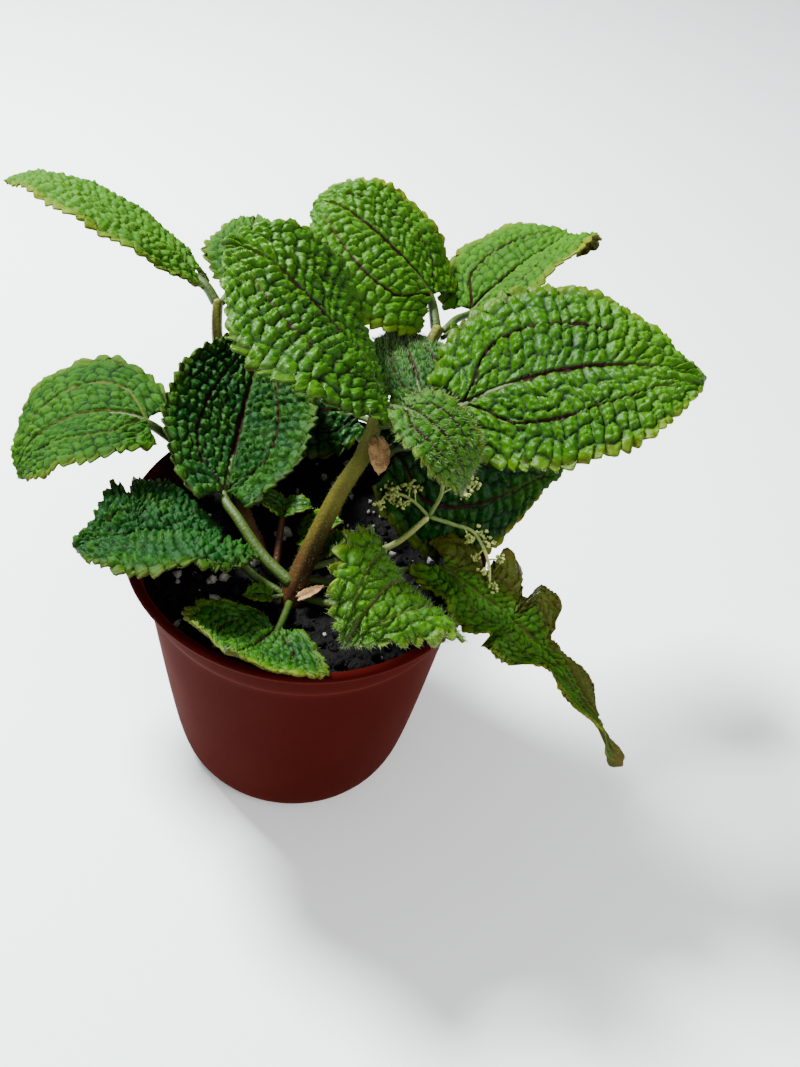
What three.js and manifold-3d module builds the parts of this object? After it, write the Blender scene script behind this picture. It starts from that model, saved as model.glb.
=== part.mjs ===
// A friendship plant with deeply quilted leaves, growing in a round nursery pot.
// Millimetres, +Z up. The origin is the centre of the pot's flat underside.
// Azimuth 0 points along +X and 90 along +Y.
import * as THREE from "three";
import { mergeVertices } from "three/addons/utils/BufferGeometryUtils.js";
import Module from "manifold-3d";

const wasm = await Module();
wasm.setup();

// ---------------------------------------------------------------- driving dimensions
const POT_HEIGHT = 108;
const POT_RIM_R = 60;
const POT_BASE_R = 41;
const POT_WALL = 1.6;
const POT_SIDES = 40;
const SOIL_LEVEL = 97;
const LEAF_THICK = 0.9;
const QUILT_RISE = 1.0;
const QUILT_SINK = 0.5;
const TOOTH = 2.2;
const GAP = 0.3;
const SEED = 20;

// ---------------------------------------------------------------- finishes
const finish = (color, roughness) =>
  new THREE.MeshStandardMaterial({ color, roughness, metalness: 0 });
const PLASTIC = finish(0x8a3a30, 0.5);
const POTTING_MIX = finish(0x17120f, 0.95);
const LEAF_GREEN = finish(0x3f8f22, 0.4);
const LEAF_SHADE = finish(0x35701f, 0.5);
const LEAF_FADED = finish(0x66762c, 0.6);
const STEM_GREEN = finish(0x8a8a35, 0.5);
const PAPERY = finish(0xa8845a, 0.7);
const FLOWER = finish(0xb5bd6a, 0.6);

// ---------------------------------------------------------------- small helpers
const rad = THREE.MathUtils.degToRad;
const vec = (p) => new THREE.Vector3(...p);
const smooth = (curvePoints) => new THREE.CatmullRomCurve3(curvePoints.map(vec), false, "centripetal");

// A seeded draw between 0 and 1.
function seededDraw(seed) {
  let state = seed;
  return () => {
    state = (state * 16807) % 2147483647;
    return state / 2147483647;
  };
}

function toSolid(geometry) {
  const bare = geometry.clone();
  for (const key of Object.keys(bare.attributes)) {
    if (key !== "position") bare.deleteAttribute(key);
  }
  const merged = mergeVertices(bare, 1e-4);
  return new wasm.Manifold(
    new wasm.Mesh({
      numProp: 3,
      vertProperties: new Float32Array(merged.attributes.position.array),
      triVerts: new Uint32Array(merged.index.array),
    }),
  );
}

function toMesh(name, solid, material) {
  const largest = solid.decompose().reduce((a, b) => (a.volume() > b.volume() ? a : b));
  const made = largest.getMesh();
  const geometry = new THREE.BufferGeometry();
  geometry.setAttribute("position", new THREE.BufferAttribute(new Float32Array(made.vertProperties), 3));
  geometry.setIndex(new THREE.BufferAttribute(new Uint32Array(made.triVerts), 1));
  geometry.computeVertexNormals();
  const mesh = new THREE.Mesh(geometry, material);
  mesh.name = name;
  return mesh;
}

const indexed = (points, faces) =>
  new THREE.BufferGeometry()
    .setAttribute("position", new THREE.Float32BufferAttribute(points.flatMap((p) => [p.x, p.y, p.z]), 3))
    .setIndex(faces.flat());

// A closed round stalk along a curve. Its radius at each share of the length comes from radiusAt.
function stalk(curve, radiusAt, sides, steps) {
  const frames = curve.computeFrenetFrames(steps, false);
  const points = [];
  const faces = [];
  for (let i = 0; i <= steps; i++) {
    const centre = curve.getPointAt(i / steps);
    const radius = radiusAt(i / steps);
    for (let k = 0; k < sides; k++) {
      const turn = (2 * Math.PI * k) / sides;
      points.push(
        centre
          .clone()
          .addScaledVector(frames.normals[i], radius * Math.cos(turn))
          .addScaledVector(frames.binormals[i], radius * Math.sin(turn)),
      );
    }
  }
  for (let i = 0; i < steps; i++) {
    for (let k = 0; k < sides; k++) {
      const a = i * sides + k;
      const b = i * sides + ((k + 1) % sides);
      faces.push([a, b, b + sides], [a, b + sides, a + sides]);
    }
  }
  const start = points.push(curve.getPointAt(0)) - 1;
  const end = points.push(curve.getPointAt(1)) - 1;
  const last = steps * sides;
  for (let k = 0; k < sides; k++) {
    faces.push([start, (k + 1) % sides, k], [end, last + k, last + ((k + 1) % sides)]);
  }
  return toSolid(indexed(points, faces));
}

// ---------------------------------------------------------------- the leaf
// Share of the full half width at share s of the length: broad and rounded at the base, pointed at the tip.
const BASE_SHARE = 0.3;
const WIDEST_AT = 0.38;
function widthShare(leaf, s) {
  if (s < WIDEST_AT) {
    const base = leaf.baseShare ?? BASE_SHARE;
    return base + (1 - base) * Math.sin((Math.PI / 2) * (s / WIDEST_AT)) ** 0.7;
  }
  return Math.cos((Math.PI / 2) * ((s - WIDEST_AT) / (1 - WIDEST_AT)) ** 1.25);
}

// A wilted leaf is pinched: past a third of its length it shrivels by that share of its width.
function halfWidth(leaf, s) {
  const withered = (leaf.pinch ?? 0) * THREE.MathUtils.smoothstep(s, 0.35, 0.55);
  return (leaf.width / 2) * widthShare(leaf, s) * (1 - withered);
}

// The midrib leaves its base at an azimuth and a pitch, droops by bend, sways sideways and curls
// in its last third. A leaf's frame at share s is its place, its way forward, its left and its normal.
const MIDRIB_STEPS = 48;
function midrib(leaf) {
  const frames = [];
  const place = vec(leaf.base);
  for (let i = 0; i <= MIDRIB_STEPS; i++) {
    const s = i / MIDRIB_STEPS;
    const late = Math.max(0, (s - 0.65) / 0.35);
    const pitch = rad(leaf.pitch - leaf.bend * s - (leaf.curl ?? 0) * late ** 2);
    const azimuth = rad(leaf.az + (leaf.sway ?? 0) * s);
    const roll = rad((leaf.roll ?? 0) + (leaf.twist ?? 0) * s);
    const ahead = new THREE.Vector3(
      Math.cos(pitch) * Math.cos(azimuth),
      Math.cos(pitch) * Math.sin(azimuth),
      Math.sin(pitch),
    );
    const level = new THREE.Vector3(-Math.sin(azimuth), Math.cos(azimuth), 0);
    const lift = new THREE.Vector3().crossVectors(ahead, level);
    const left = level.clone().multiplyScalar(Math.cos(roll)).addScaledVector(lift, Math.sin(roll));
    const normal = new THREE.Vector3().crossVectors(ahead, left);
    if (i > 0) place.addScaledVector(ahead, leaf.length / MIDRIB_STEPS);
    frames.push({ place: place.clone(), ahead, left, normal });
  }
  return frames;
}

// A point of the blade: share s along the midrib, share v across, from -1 at the right margin to 1 at
// the left. Skew widens the left half and narrows the right. Each half leaves the midrib at the fold
// angle and bends down by the arch angle towards its margin. The base lobes reach back behind the
// midrib's start by the lobe share of the length.
const LOBE = 0.1;
function bladePoint(leaf, frames, s, v) {
  const at = Math.min(Math.max(s, 0), 1) * MIDRIB_STEPS;
  const i = Math.min(Math.floor(at), MIDRIB_STEPS - 1);
  const f = at - i;
  const mix = (key) => frames[i][key].clone().lerp(frames[i + 1][key], f);
  const t = Math.abs(v);
  const half = halfWidth(leaf, Math.min(Math.max(s, 0), 1)) * (1 + (leaf.skew ?? 0) * Math.sign(v));
  const slope = rad((leaf.fold ?? 0) - ((leaf.arch ?? 0) * t) / 2);
  const back = leaf.length * LOBE * (1 - s) ** 3 * t * t;
  return mix("place")
    .addScaledVector(mix("left"), half * v * Math.cos(slope))
    .addScaledVector(mix("normal"), half * t * Math.sin(slope))
    .addScaledVector(mix("ahead"), -back);
}

function bladeNormal(leaf, frames, s, v) {
  const step = 0.01;
  const low = Math.max(s - step, 0);
  const high = Math.min(s + step, 1);
  const along = bladePoint(leaf, frames, high, v).sub(bladePoint(leaf, frames, low, v));
  const across = bladePoint(leaf, frames, s, v + step).sub(bladePoint(leaf, frames, s, v - step));
  return along.cross(across).normalize();
}

// The blade is a quilt of cells, rows along the leaf by cols in each half. Each cell is a low
// four-sided dome, and its outer side ends in a tooth at the margin. Both faces have the same
// triangles, so they stay one thickness apart.
const LAST_ROW = 0.95;
function blade(leaf) {
  const frames = midrib(leaf);
  const { rows, cols } = leaf;
  const top = [];
  const under = [];
  const thick = leaf.thick ?? LEAF_THICK;
  const rise = leaf.rise ?? QUILT_RISE;
  const add = (s, v, height) => {
    const normal = bladeNormal(leaf, frames, s, v);
    const point = bladePoint(leaf, frames, s, v).addScaledVector(normal, height);
    top.push(point);
    under.push(point.clone().addScaledVector(normal, -thick));
    return top.length - 1;
  };
  const torn = (s, side) => {
    const tear = (leaf.tears ?? []).find((x) => x.side === side && Math.abs(s - x.at) < x.wide / 2);
    return tear ? tear.deep * (1 - (2 * Math.abs(s - tear.at)) / tear.wide) : 0;
  };
  const row = (i) => (LAST_ROW * i) / rows;
  const corner = [];
  for (let i = 0; i <= rows; i++) {
    corner.push([]);
    for (let j = -cols; j <= cols; j++) {
      const v = (j / cols) * (1 - torn(row(i), Math.sign(j)));
      corner[i].push(add(row(i), v, Math.abs(j) === cols ? 0 : -QUILT_SINK * rise));
    }
  }
  const faces = [];
  const rightEdge = [];
  const leftEdge = [];
  for (let i = 0; i < rows; i++) {
    const middle = row(i + 0.5);
    for (let j = -cols; j < cols; j++) {
      const [a, b, c, d] = [
        corner[i][j + cols],
        corner[i + 1][j + cols],
        corner[i + 1][j + cols + 1],
        corner[i][j + cols + 1],
      ];
      const side = j < 0 ? -1 : 1;
      const shrink = 1 - torn(middle, side);
      const peak = add(middle, ((j + 0.5) / cols) * shrink, rise);
      const ring = [a, b, c, d];
      const outer = j === -cols || j === cols - 1;
      if (outer) {
        const half = halfWidth(leaf, middle);
        const reach = shrink + Math.min((leaf.tooth ?? TOOTH) / half, 0.3);
        const tooth = add(row(i + 0.68), side * reach, 0.1);
        if (side < 0) {
          ring.splice(1, 0, tooth);
          rightEdge.push(a, tooth);
        } else {
          ring.splice(3, 0, tooth);
          leftEdge.push(d, tooth);
        }
      }
      ring.forEach((p, k) => faces.push([p, peak, ring[(k + 1) % ring.length]]));
    }
  }
  const tip = add(1, 0, 0);
  for (let j = 0; j < 2 * cols; j++) faces.push([corner[rows][j], corner[rows][j + 1], tip]);
  // The rim runs along the base from left to right, up the right margin, round the tip and back.
  const base = corner[0].slice(1, -1).reverse();
  const rim = [
    ...rightEdge,
    corner[rows][0],
    tip,
    corner[rows][2 * cols],
    ...leftEdge.reverse(),
    ...base,
  ];
  // leftEdge holds notch, tooth in turn from the base, so reversed it runs tooth, notch back to the base.
  const count = top.length;
  const closed = [
    ...faces.map(([a, b, c]) => [a, c, b]),
    ...faces.map(([a, b, c]) => [a + count, b + count, c + count]),
  ];
  rim.forEach((p, k) => {
    const q = rim[(k + 1) % rim.length];
    closed.push([p, p + count, q + count], [p, q + count, q]);
  });
  return { solid: toSolid(indexed([...top, ...under], closed)), frames };
}

// A leaf's stalk runs from the stem through its bends to the blade, and on under the midrib.
function petiole(leaf, frames) {
  const under = (s) => {
    const frame = frames[Math.round(s * MIDRIB_STEPS)];
    return frame.place.clone().addScaledVector(frame.normal, -0.7 * LEAF_THICK);
  };
  const points = [...leaf.stalk.map(vec), under(0), under(0.12), under(0.25)];
  const curve = new THREE.CatmullRomCurve3(points, false, "centripetal");
  const [thickEnd, thinEnd] = leaf.stalkR ?? [1.9, 1.3];
  const taper = (x) => THREE.MathUtils.lerp(thickEnd, thinEnd, x) * (x > 0.9 ? 0.75 : 1);
  return stalk(curve, taper, 6, Math.max(4, Math.round(curve.getLength() / 7)));
}

// ---------------------------------------------------------------- stems
const STEMS = {
  stem_main: {
    path: [
      [-1, -22, 84], [-1, -21, 97], [3, -12, 112], [9, -3, 130], [16, 4, 146], [17, 5, 157], [20, 4, 163],
    ],
    radius: (x) => 3.9 - 1.9 * x + 0.7 * Math.exp(-(((x - 0.79) / 0.035) ** 2)),
    sides: 10,
    steps: 16,
  },
  stem_back_left: {
    path: [
      [-13, -7, 84], [-14, -5, 96], [-21, 4, 102], [-30, 20, 108],
      [-40, 46, 122], [-46, 62, 136], [-47, 68, 144],
    ],
    radius: (x) => 2.6 - 0.8 * x,
    sides: 8,
    steps: 12,
  },
  stem_back_right: {
    path: [[3, -7, 84], [4, -3, 98], [8, 12, 115], [15, 25, 126], [24, 42, 143], [31, 55, 158]],
    radius: (x) => 2.8 - 0.8 * x,
    sides: 8,
    steps: 12,
  },
};
const stemSolid = (stem, extra) =>
  stalk(smooth(stem.path), (x) => stem.radius(x) + extra, stem.sides, stem.steps);

// ---------------------------------------------------------------- leaves
const LARGE = { rows: 9, cols: 3 };
const MEDIUM = { rows: 7, cols: 3 };
const SMALL = { rows: 6, cols: 2 };
const TINY = { rows: 4, cols: 1, rise: 0.4, tooth: 0.9, stalkR: [0.9, 0.7] };
const LEAVES = [
  {
    name: "leaf_right_large", ...LARGE, base: [42, 14, 160], length: 80, width: 66, az: 15, pitch: 39,
    bend: 61, roll: 19, twist: -13, fold: 4, arch: 15, stalk: [[17, 4, 155], [28, 8, 155]], skew: 0.045,
    baseShare: 0.35,
  },
  {
    name: "leaf_front_large", ...LARGE, base: [17, 10, 163], length: 65, width: 62.5, az: 156.5,
    pitch: 47, bend: 24.5, curl: 44, roll: 40, twist: -63.5, fold: 6.6, arch: 26, stalk: [[17, 5, 155]],
    baseShare: 0.36, sway: 15, skew: 0.15,
  },
  {
    name: "leaf_left_middle", ...LARGE, base: [-29, 4, 114], length: 70, width: 54, az: 95,
    sway: -8, pitch: 7, bend: -21, roll: 5, twist: 3, fold: 15, arch: -23,
    stalk: [[-1, -20, 103], [-12, -13, 106], [-23, -3, 111]], stalkR: [2.3, 1.6],
  },
  {
    name: "leaf_far_left", ...SMALL, base: [-57, 15, 130], length: 60, width: 46.5, az: 177, sway: 34,
    pitch: 16, bend: 95, roll: -5, fold: 7, arch: 12,
    stalk: [[-30, 20, 108], [-42, 20, 112], [-52, 18, 122]], skew: -0.075,
  },
  {
    name: "leaf_top_left", ...MEDIUM, base: [-58, 75, 149], length: 73, width: 46, az: 169, sway: 8,
    pitch: 35, bend: 33, curl: 38, roll: 28, twist: -12, fold: 17, arch: 41,
    stalk: [[-47, 67, 142], [-52, 71, 146]],
  },
  {
    name: "leaf_top_left_behind", ...SMALL, base: [-40.3, 79.5, 146.8], length: 40, width: 31.5, az: 97,
    pitch: 24, bend: 42, roll: -6, fold: 3, arch: 17, stalk: [[-46, 67, 142], [-43.5, 74, 144.3]],
    stalkR: [1.3, 1],
  },
  {
    name: "leaf_top_middle", ...MEDIUM, base: [27, 65.6, 162], length: 56, width: 54, az: 162.5,
    pitch: 45, bend: 40, curl: 100, roll: -3, twist: -15, fold: 6, arch: 21, stalk: [[30, 55, 156]],
    skew: 0.17, baseShare: 0.42,
  },
  {
    name: "leaf_top_right", ...MEDIUM, base: [40.5, 68.3, 157.4], length: 58, width: 44, az: 50,
    sway: -14, pitch: 34, bend: 28, curl: 120, roll: -15, twist: -9, fold: 20, arch: 20,
    stalk: [[32.5, 54.3, 156.2], [36, 61.5, 157]], stalkR: [1.4, 1.1], baseShare: 0.32, skew: 0.1,
  },
  {
    name: "leaf_centre_back", ...SMALL, base: [29.6, 21.5, 152.5], length: 34, width: 25, az: 109.5,
    sway: 5, pitch: 17, bend: 46, roll: -2, fold: 3, arch: 17,
    stalk: [[18.2, 6.5, 152.2], [24, 13, 153.8]], stalkR: [1.2, 1], baseShare: 0.3, skew: -0.1,
  },
  {
    name: "leaf_centre_front", ...SMALL, base: [25, -2, 168], length: 35, width: 23, az: -27,
    pitch: 15, bend: 105, roll: 8, fold: 9, arch: 20, stalk: [[20, 4, 162]], stalkR: [1.2, 1],
  },
  {
    name: "leaf_behind_left", ...SMALL, base: [8, 49, 119], length: 40, width: 38, az: 180,
    pitch: 0, bend: 12, roll: -15, arch: 15, stalk: [[14, 23, 125], [15, 36, 122], [13, 45, 120]],
    stalkR: [1.3, 1],
  },
  {
    name: "leaf_behind_right", ...LARGE, base: [24, 6, 144.1], length: 60, width: 46, az: 25, sway: -11,
    pitch: -4, bend: 4, curl: 39, roll: 67, twist: -11, arch: 17, skew: -0.42,
    stalk: [[16, 4, 141], [21, 5, 142]],
  },
  {
    name: "leaf_low_left", ...MEDIUM, base: [-26, -11, 108], length: 47, width: 60, az: 208, sway: -5,
    pitch: 41, bend: 66, roll: 25, twist: -17, fold: 16, arch: 18,
    stalk: [[-1, -21, 98], [-12, -18, 100], [-21, -14, 104]],
    tears: [{ side: -1, at: 0.6, wide: 0.16, deep: 0.4 }], stalkR: [1.4, 1.1],
  },
  {
    name: "leaf_low_front", ...SMALL, base: [-2, -40, 105], length: 32, width: 46, az: 245, sway: 6,
    pitch: 10, bend: -48, roll: 2, twist: -3, arch: -10, stalk: [[-1, -21, 97], [-1, -30, 101]],
    stalkR: [1.3, 1],
  },
  {
    name: "leaf_low_right", ...MEDIUM, base: [34, -29.5, 110.3], length: 48, width: 46, az: 247,
    sway: -5, pitch: 113, bend: 172, roll: -14, twist: -11, fold: 14, arch: 14, skew: -0.1,
    stalk: [[0, -21, 99.5], [14, -23, 100], [27.5, -25.5, 101.5]], stalkR: [1.5, 1.2],
  },
  {
    name: "leaf_torn_right", ...LARGE, base: [45, -10.5, 113], length: 90, width: 33, az: -24, sway: -7,
    pitch: -3, bend: 50, roll: -4, twist: -4, fold: 7, arch: 22, pinch: 0.6, skew: 0.1,
    stalk: [[1, -17, 104], [12, -16, 103], [27, -12, 107]], stalkR: [1.4, 1.1],
    tears: [{ side: 1, at: 0.25, wide: 0.12, deep: 0.5 }, { side: 1, at: 0.4, wide: 0.1, deep: 0.45 }],
  },
];

// Young and crown leaves, each on its own thin stalk.
const YOUNG_LEAVES = [
  {
    name: "leaf_node_young", ...TINY, base: [37, 53, 161], length: 11, width: 9, az: -70,
    pitch: 10, bend: 60, fold: 30, stalk: [[31.4, 52.6, 153.6]],
  },
  {
    name: "leaf_young_behind_stem", ...TINY, rows: 5, base: [-2, 0, 104], length: 19, width: 11,
    az: -10, pitch: 60, bend: 30, roll: 20, fold: 20, stalk: [[4, -4, 100], [1, -2, 101]],
  },
  {
    name: "leaf_crown_small", ...TINY, base: [8, -6, 106], length: 10, width: 8, az: 20, pitch: 70,
    bend: 40, fold: 20, stalk: [[3, -6, 99], [6, -6, 102]],
  },
  {
    name: "leaf_crown_front", ...TINY, base: [-7, -24, 100.5], length: 9, width: 7, az: 195,
    pitch: 30, bend: 50, fold: 20, stalk: [[-1, -21, 99]],
  },
];

// A sprout: a brown stalk with two curled leaflets at its top.
const SPROUT_PATH = [[-8, -13, 84], [-8, -12, 97], [-9, -2, 105], [-9, 3, 112]];
const sproutStalk = (extra) => stalk(smooth(SPROUT_PATH), (x) => 1.7 - 0.7 * x + extra, 6, 6);
function sprout() {
  let solid = sproutStalk(0);
  for (const [az, curl] of [[170, 60], [10, 80]]) {
    const leaflet = {
      ...TINY, rows: 3, base: [-9, 3, 111.5], length: 11, width: 8, az, pitch: 50, bend: 60, curl, fold: 15,
      stalk: [[-9, 3, 110.5]],
    };
    const made = blade(leaflet);
    solid = solid.add(made.solid).add(petiole(leaflet, made.frames));
  }
  return solid;
}

// ---------------------------------------------------------------- the flower stalk
// A forked stalk. Each cluster is a ring of tight buds about the end of a twig.
const FORK = [38, -3, 127];
const TWIGS = [
  { path: [[2, -15, 106], [12, -11, 108], [28, -5, 113], FORK], r: [1.2, 1] },
  { path: [FORK, [40.5, 0, 134], [41, 2, 139], [45, 2, 139.5], [49.5, 1.5, 137.5]], r: [1, 0.6] },
  { path: [FORK, [46, -2.5, 125], [53, -2.5, 123], [59, -9, 118], [60.5, -15, 115]], r: [1, 0.6] },
  { path: [FORK, [33, -2, 131], [28, -1.5, 133], [23.5, -3, 133]], r: [0.8, 0.5] },
];
const CLUSTERS = [
  [45, 1.5, 140.5],
  [49.5, 1.5, 138],
  [53, -3, 125],
  [57, -3, 124],
  [58.5, -9, 119.5],
  [60.5, -15, 116],
  [34.5, -3, 133],
  [29, -2.5, 134.5],
  [23.5, -3.5, 133.5],
];
function flowers() {
  const draw = seededDraw(SEED + 1);
  let solid = null;
  for (const { path, r } of TWIGS) {
    const twig = stalk(smooth(path), (x) => THREE.MathUtils.lerp(r[0], r[1], x), 5, 2 * path.length);
    solid = solid ? solid.add(twig) : twig;
  }
  for (const [x, y, z] of CLUSTERS) {
    for (let k = 0; k < 4; k++) {
      const turn = (2 * Math.PI * k) / 4 + draw();
      const bud = new THREE.OctahedronGeometry(1.2 + 0.4 * draw());
      bud.translate(x + 1.5 * Math.cos(turn), y + 1.5 * Math.sin(turn), z + 1.4 * (draw() - 0.5));
      solid = solid.add(toSolid(bud));
    }
  }
  return solid;
}

// ---------------------------------------------------------------- papery scales
// A scale is a short curved flake, cupped along its length.
function scale(leaflet) {
  return blade({ ...leaflet, rows: 3, cols: 1, rise: 0.2, tooth: 0.3, thick: 0.7 }).solid;
}
const SCALES = {
  scale_upper_node: { base: [19.2, 2.2, 149], length: 9, width: 8, az: -60, pitch: -50, bend: 20, fold: 25 },
  scale_crown: { base: [2, -24.6, 102.5], length: 9, width: 4, az: 38, pitch: 5, bend: -10, fold: 20 },
};

const leafMaterial = (leaf) =>
  ({ leaf_torn_right: LEAF_FADED, leaf_behind_right: LEAF_SHADE, leaf_behind_left: LEAF_SHADE })[leaf.name] ??
  LEAF_GREEN;

// ---------------------------------------------------------------- the pot
// The profile runs from the centre of the underside out, up the outside, over the rolled lip, down
// the inside wall and back to the centre.
function pot() {
  const profile = [
    [0, 0],
    [POT_BASE_R - 4, 0],
    [POT_BASE_R, 1.6],
    [POT_BASE_R + 2.6, 6],
    [53.6, 91],
    [55.6, 94.5],
    [57.8, 105.6],
    [59.4, 105.6],
    [POT_RIM_R, 106.6],
    [POT_RIM_R - 0.5, POT_HEIGHT],
    [57.4, POT_HEIGHT],
    [56.2, 106.5],
    [54.2, 95.2],
    [53.6 - POT_WALL, 91.5],
    [POT_BASE_R + 2.6 - POT_WALL, 6.5],
    [POT_BASE_R - 1, 2.6],
    [POT_BASE_R - 4, 1.8],
    [0, 1.8],
  ].map(([r, z]) => new THREE.Vector2(r, z));
  const lathe = new THREE.LatheGeometry(profile, POT_SIDES);
  // LatheGeometry turns about Y, so it is stood up along Z.
  let solid = toSolid(lathe.rotateX(Math.PI / 2));
  const DRAINS = 8;
  for (let i = 0; i < DRAINS; i++) {
    const hole = new THREE.CylinderGeometry(3.2, 3.2, 6, 10).rotateX(Math.PI / 2);
    hole.translate(30, 0, 1).rotateZ((2 * Math.PI * (i + 0.5)) / DRAINS);
    solid = solid.subtract(toSolid(hole));
  }
  return solid;
}

// ---------------------------------------------------------------- the potting mix
function pottingMix() {
  const draw = seededDraw(SEED);
  const inside = [
    [0, 1.8 + GAP],
    [POT_BASE_R - 5, 1.8 + GAP],
    [POT_BASE_R + 2.6 - POT_WALL - GAP, 7],
    [53.6 - POT_WALL - GAP, 91.3],
    [54.2 - GAP, SOIL_LEVEL - 1.5],
    [46, SOIL_LEVEL + 0.4],
    [32, SOIL_LEVEL - 0.6],
    [16, SOIL_LEVEL + 0.6],
    [0, SOIL_LEVEL],
  ].map(([r, z]) => new THREE.Vector2(r, z));
  const body = new THREE.LatheGeometry(inside, POT_SIDES).rotateX(Math.PI / 2);
  let solid = toSolid(body);
  // Crumbs and pale mineral grains stand half out of the surface.
  const GRAINS = 30;
  for (let i = 0; i < GRAINS; i++) {
    const size = 1.4 + 1.6 * draw();
    const reach = 50 * Math.sqrt(draw());
    const turn = 2 * Math.PI * draw();
    const grain = new THREE.OctahedronGeometry(size).rotateZ(6 * draw());
    grain.scale(1, 0.8, 0.7).translate(reach * Math.cos(turn), reach * Math.sin(turn), SOIL_LEVEL + 0.2);
    solid = solid.add(toSolid(grain));
  }
  return solid;
}

// ---------------------------------------------------------------- assembly
const plant = new THREE.Group();
plant.add(toMesh("pot", pot(), PLASTIC));

const stems = {};
for (const [name, stem] of Object.entries(STEMS)) stems[name] = stemSolid(stem, 0);
const clearance = {};
for (const [name, stem] of Object.entries(STEMS)) clearance[name] = stemSolid(stem, GAP);

let mix = pottingMix();
for (const hole of [...Object.values(clearance), sproutStalk(GAP)]) mix = mix.subtract(hole);
plant.add(toMesh("potting_mix", mix, POTTING_MIX));
plant.add(toMesh("stem_main", stems.stem_main, STEM_GREEN));
for (const name of ["stem_back_left", "stem_back_right"]) {
  plant.add(toMesh(name, stems[name].subtract(clearance.stem_main), STEM_GREEN));
}
for (const leaf of [...LEAVES, ...YOUNG_LEAVES]) {
  const made = blade(leaf);
  let solid = made.solid.add(petiole(leaf, made.frames));
  for (const name of Object.keys(STEMS)) solid = solid.subtract(clearance[name]);
  plant.add(toMesh(leaf.name, solid, leafMaterial(leaf)));
}
const clearOfStems = (solid) => Object.values(clearance).reduce((rest, stem) => rest.subtract(stem), solid);
plant.add(toMesh("sprout_left", clearOfStems(sprout()), STEM_GREEN));
plant.add(toMesh("flower_stalk", clearOfStems(flowers()), FLOWER));
for (const [name, leaflet] of Object.entries(SCALES)) {
  plant.add(toMesh(name, clearOfStems(scale(leaflet)), PAPERY));
}

export default plant;
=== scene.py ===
"""A friendship plant in a round nursery pot: quilted, toothed, hairy leaves on arching stems.

Lengths in the tables are millimetres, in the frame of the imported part: +Z up, the origin at the centre
of the pot's flat underside, azimuth 0 along +X and 90 along +Y. Every mesh is written in metres.
"""

from dataclasses import dataclass

import bpy
import numpy as np
from bpy.props import FloatProperty, FloatVectorProperty, IntProperty, PointerProperty
from mathutils import Matrix, Vector


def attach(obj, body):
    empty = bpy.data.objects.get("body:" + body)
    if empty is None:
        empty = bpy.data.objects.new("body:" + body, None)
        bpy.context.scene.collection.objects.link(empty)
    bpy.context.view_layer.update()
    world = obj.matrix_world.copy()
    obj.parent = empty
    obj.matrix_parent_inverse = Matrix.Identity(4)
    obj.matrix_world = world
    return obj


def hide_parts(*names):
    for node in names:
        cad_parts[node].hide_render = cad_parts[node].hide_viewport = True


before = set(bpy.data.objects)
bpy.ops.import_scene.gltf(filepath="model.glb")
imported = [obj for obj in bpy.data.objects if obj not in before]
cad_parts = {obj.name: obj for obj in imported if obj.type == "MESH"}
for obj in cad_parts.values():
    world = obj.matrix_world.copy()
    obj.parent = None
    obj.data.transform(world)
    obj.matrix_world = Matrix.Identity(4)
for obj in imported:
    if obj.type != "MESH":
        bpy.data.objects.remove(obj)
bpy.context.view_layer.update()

bl_info = {
    "name": "Potted Friendship Plant",
    "version": (1, 0, 0),
    "blender": (4, 5, 0),
    "location": "3D View > Sidebar > Plant",
    "description": "Grows a quilted, hairy friendship plant in a nursery pot",
    "category": "Object",
}

MM = 0.001
BODY = "root"


# ---------------------------------------------------------------- numbers
def smoothstep(low, high, x):
    """0 below low, 1 above high, and a cubic between them with level ends."""
    share = np.clip((x - low) / (high - low), 0, 1)
    return share * share * (3 - 2 * share)


def mix(a, b, share):
    """The value that lies the given share of the way from a to b."""
    return a + (b - a) * share


def unit(vectors):
    """Vectors of length one."""
    return vectors / np.maximum(np.linalg.norm(vectors, axis=-1, keepdims=True), 1e-12)


def chance(i, j, seed):
    """A fixed draw from 0 to 1 for each whole-number cell: the fraction of a large multiple of a sine."""
    return np.modf(np.abs(np.sin(i * 127.1 + j * 311.7 + seed * 74.7) * 43758.5453))[0]


def ripple(points, seed, count=6, reach=1.0):
    """Smooth wandering from -1 to 1: the mean of sines along random directions, reach mm to a wave."""
    draw = np.random.default_rng(seed)
    ways = draw.normal(size=(count, 3)) * 2 * np.pi / reach
    return np.sin(points @ ways.T + draw.uniform(0, 2 * np.pi, count)).mean(-1) * np.sqrt(count) / 1.6


def linear(red, green, blue):
    """A screen colour from 0 to 255 as linear light, the screen curve being a power of 2.2."""
    return tuple((channel / 255) ** 2.2 for channel in (red, green, blue))


# ---------------------------------------------------------------- meshes
SEGMENT_STEPS = 24  # steps of a curve between two knots
END_ROUNDING = 0.6  # mm over which the ends of a rod are rounded
END_LEAST = 0.15  # the square of the share of its radius that a rod keeps at its ends
HAIR_ROOT = 0.15  # mm that a hair's foot lies below the skin
GRAIN_RINGS, GRAIN_SIDES = 3, 7


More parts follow.
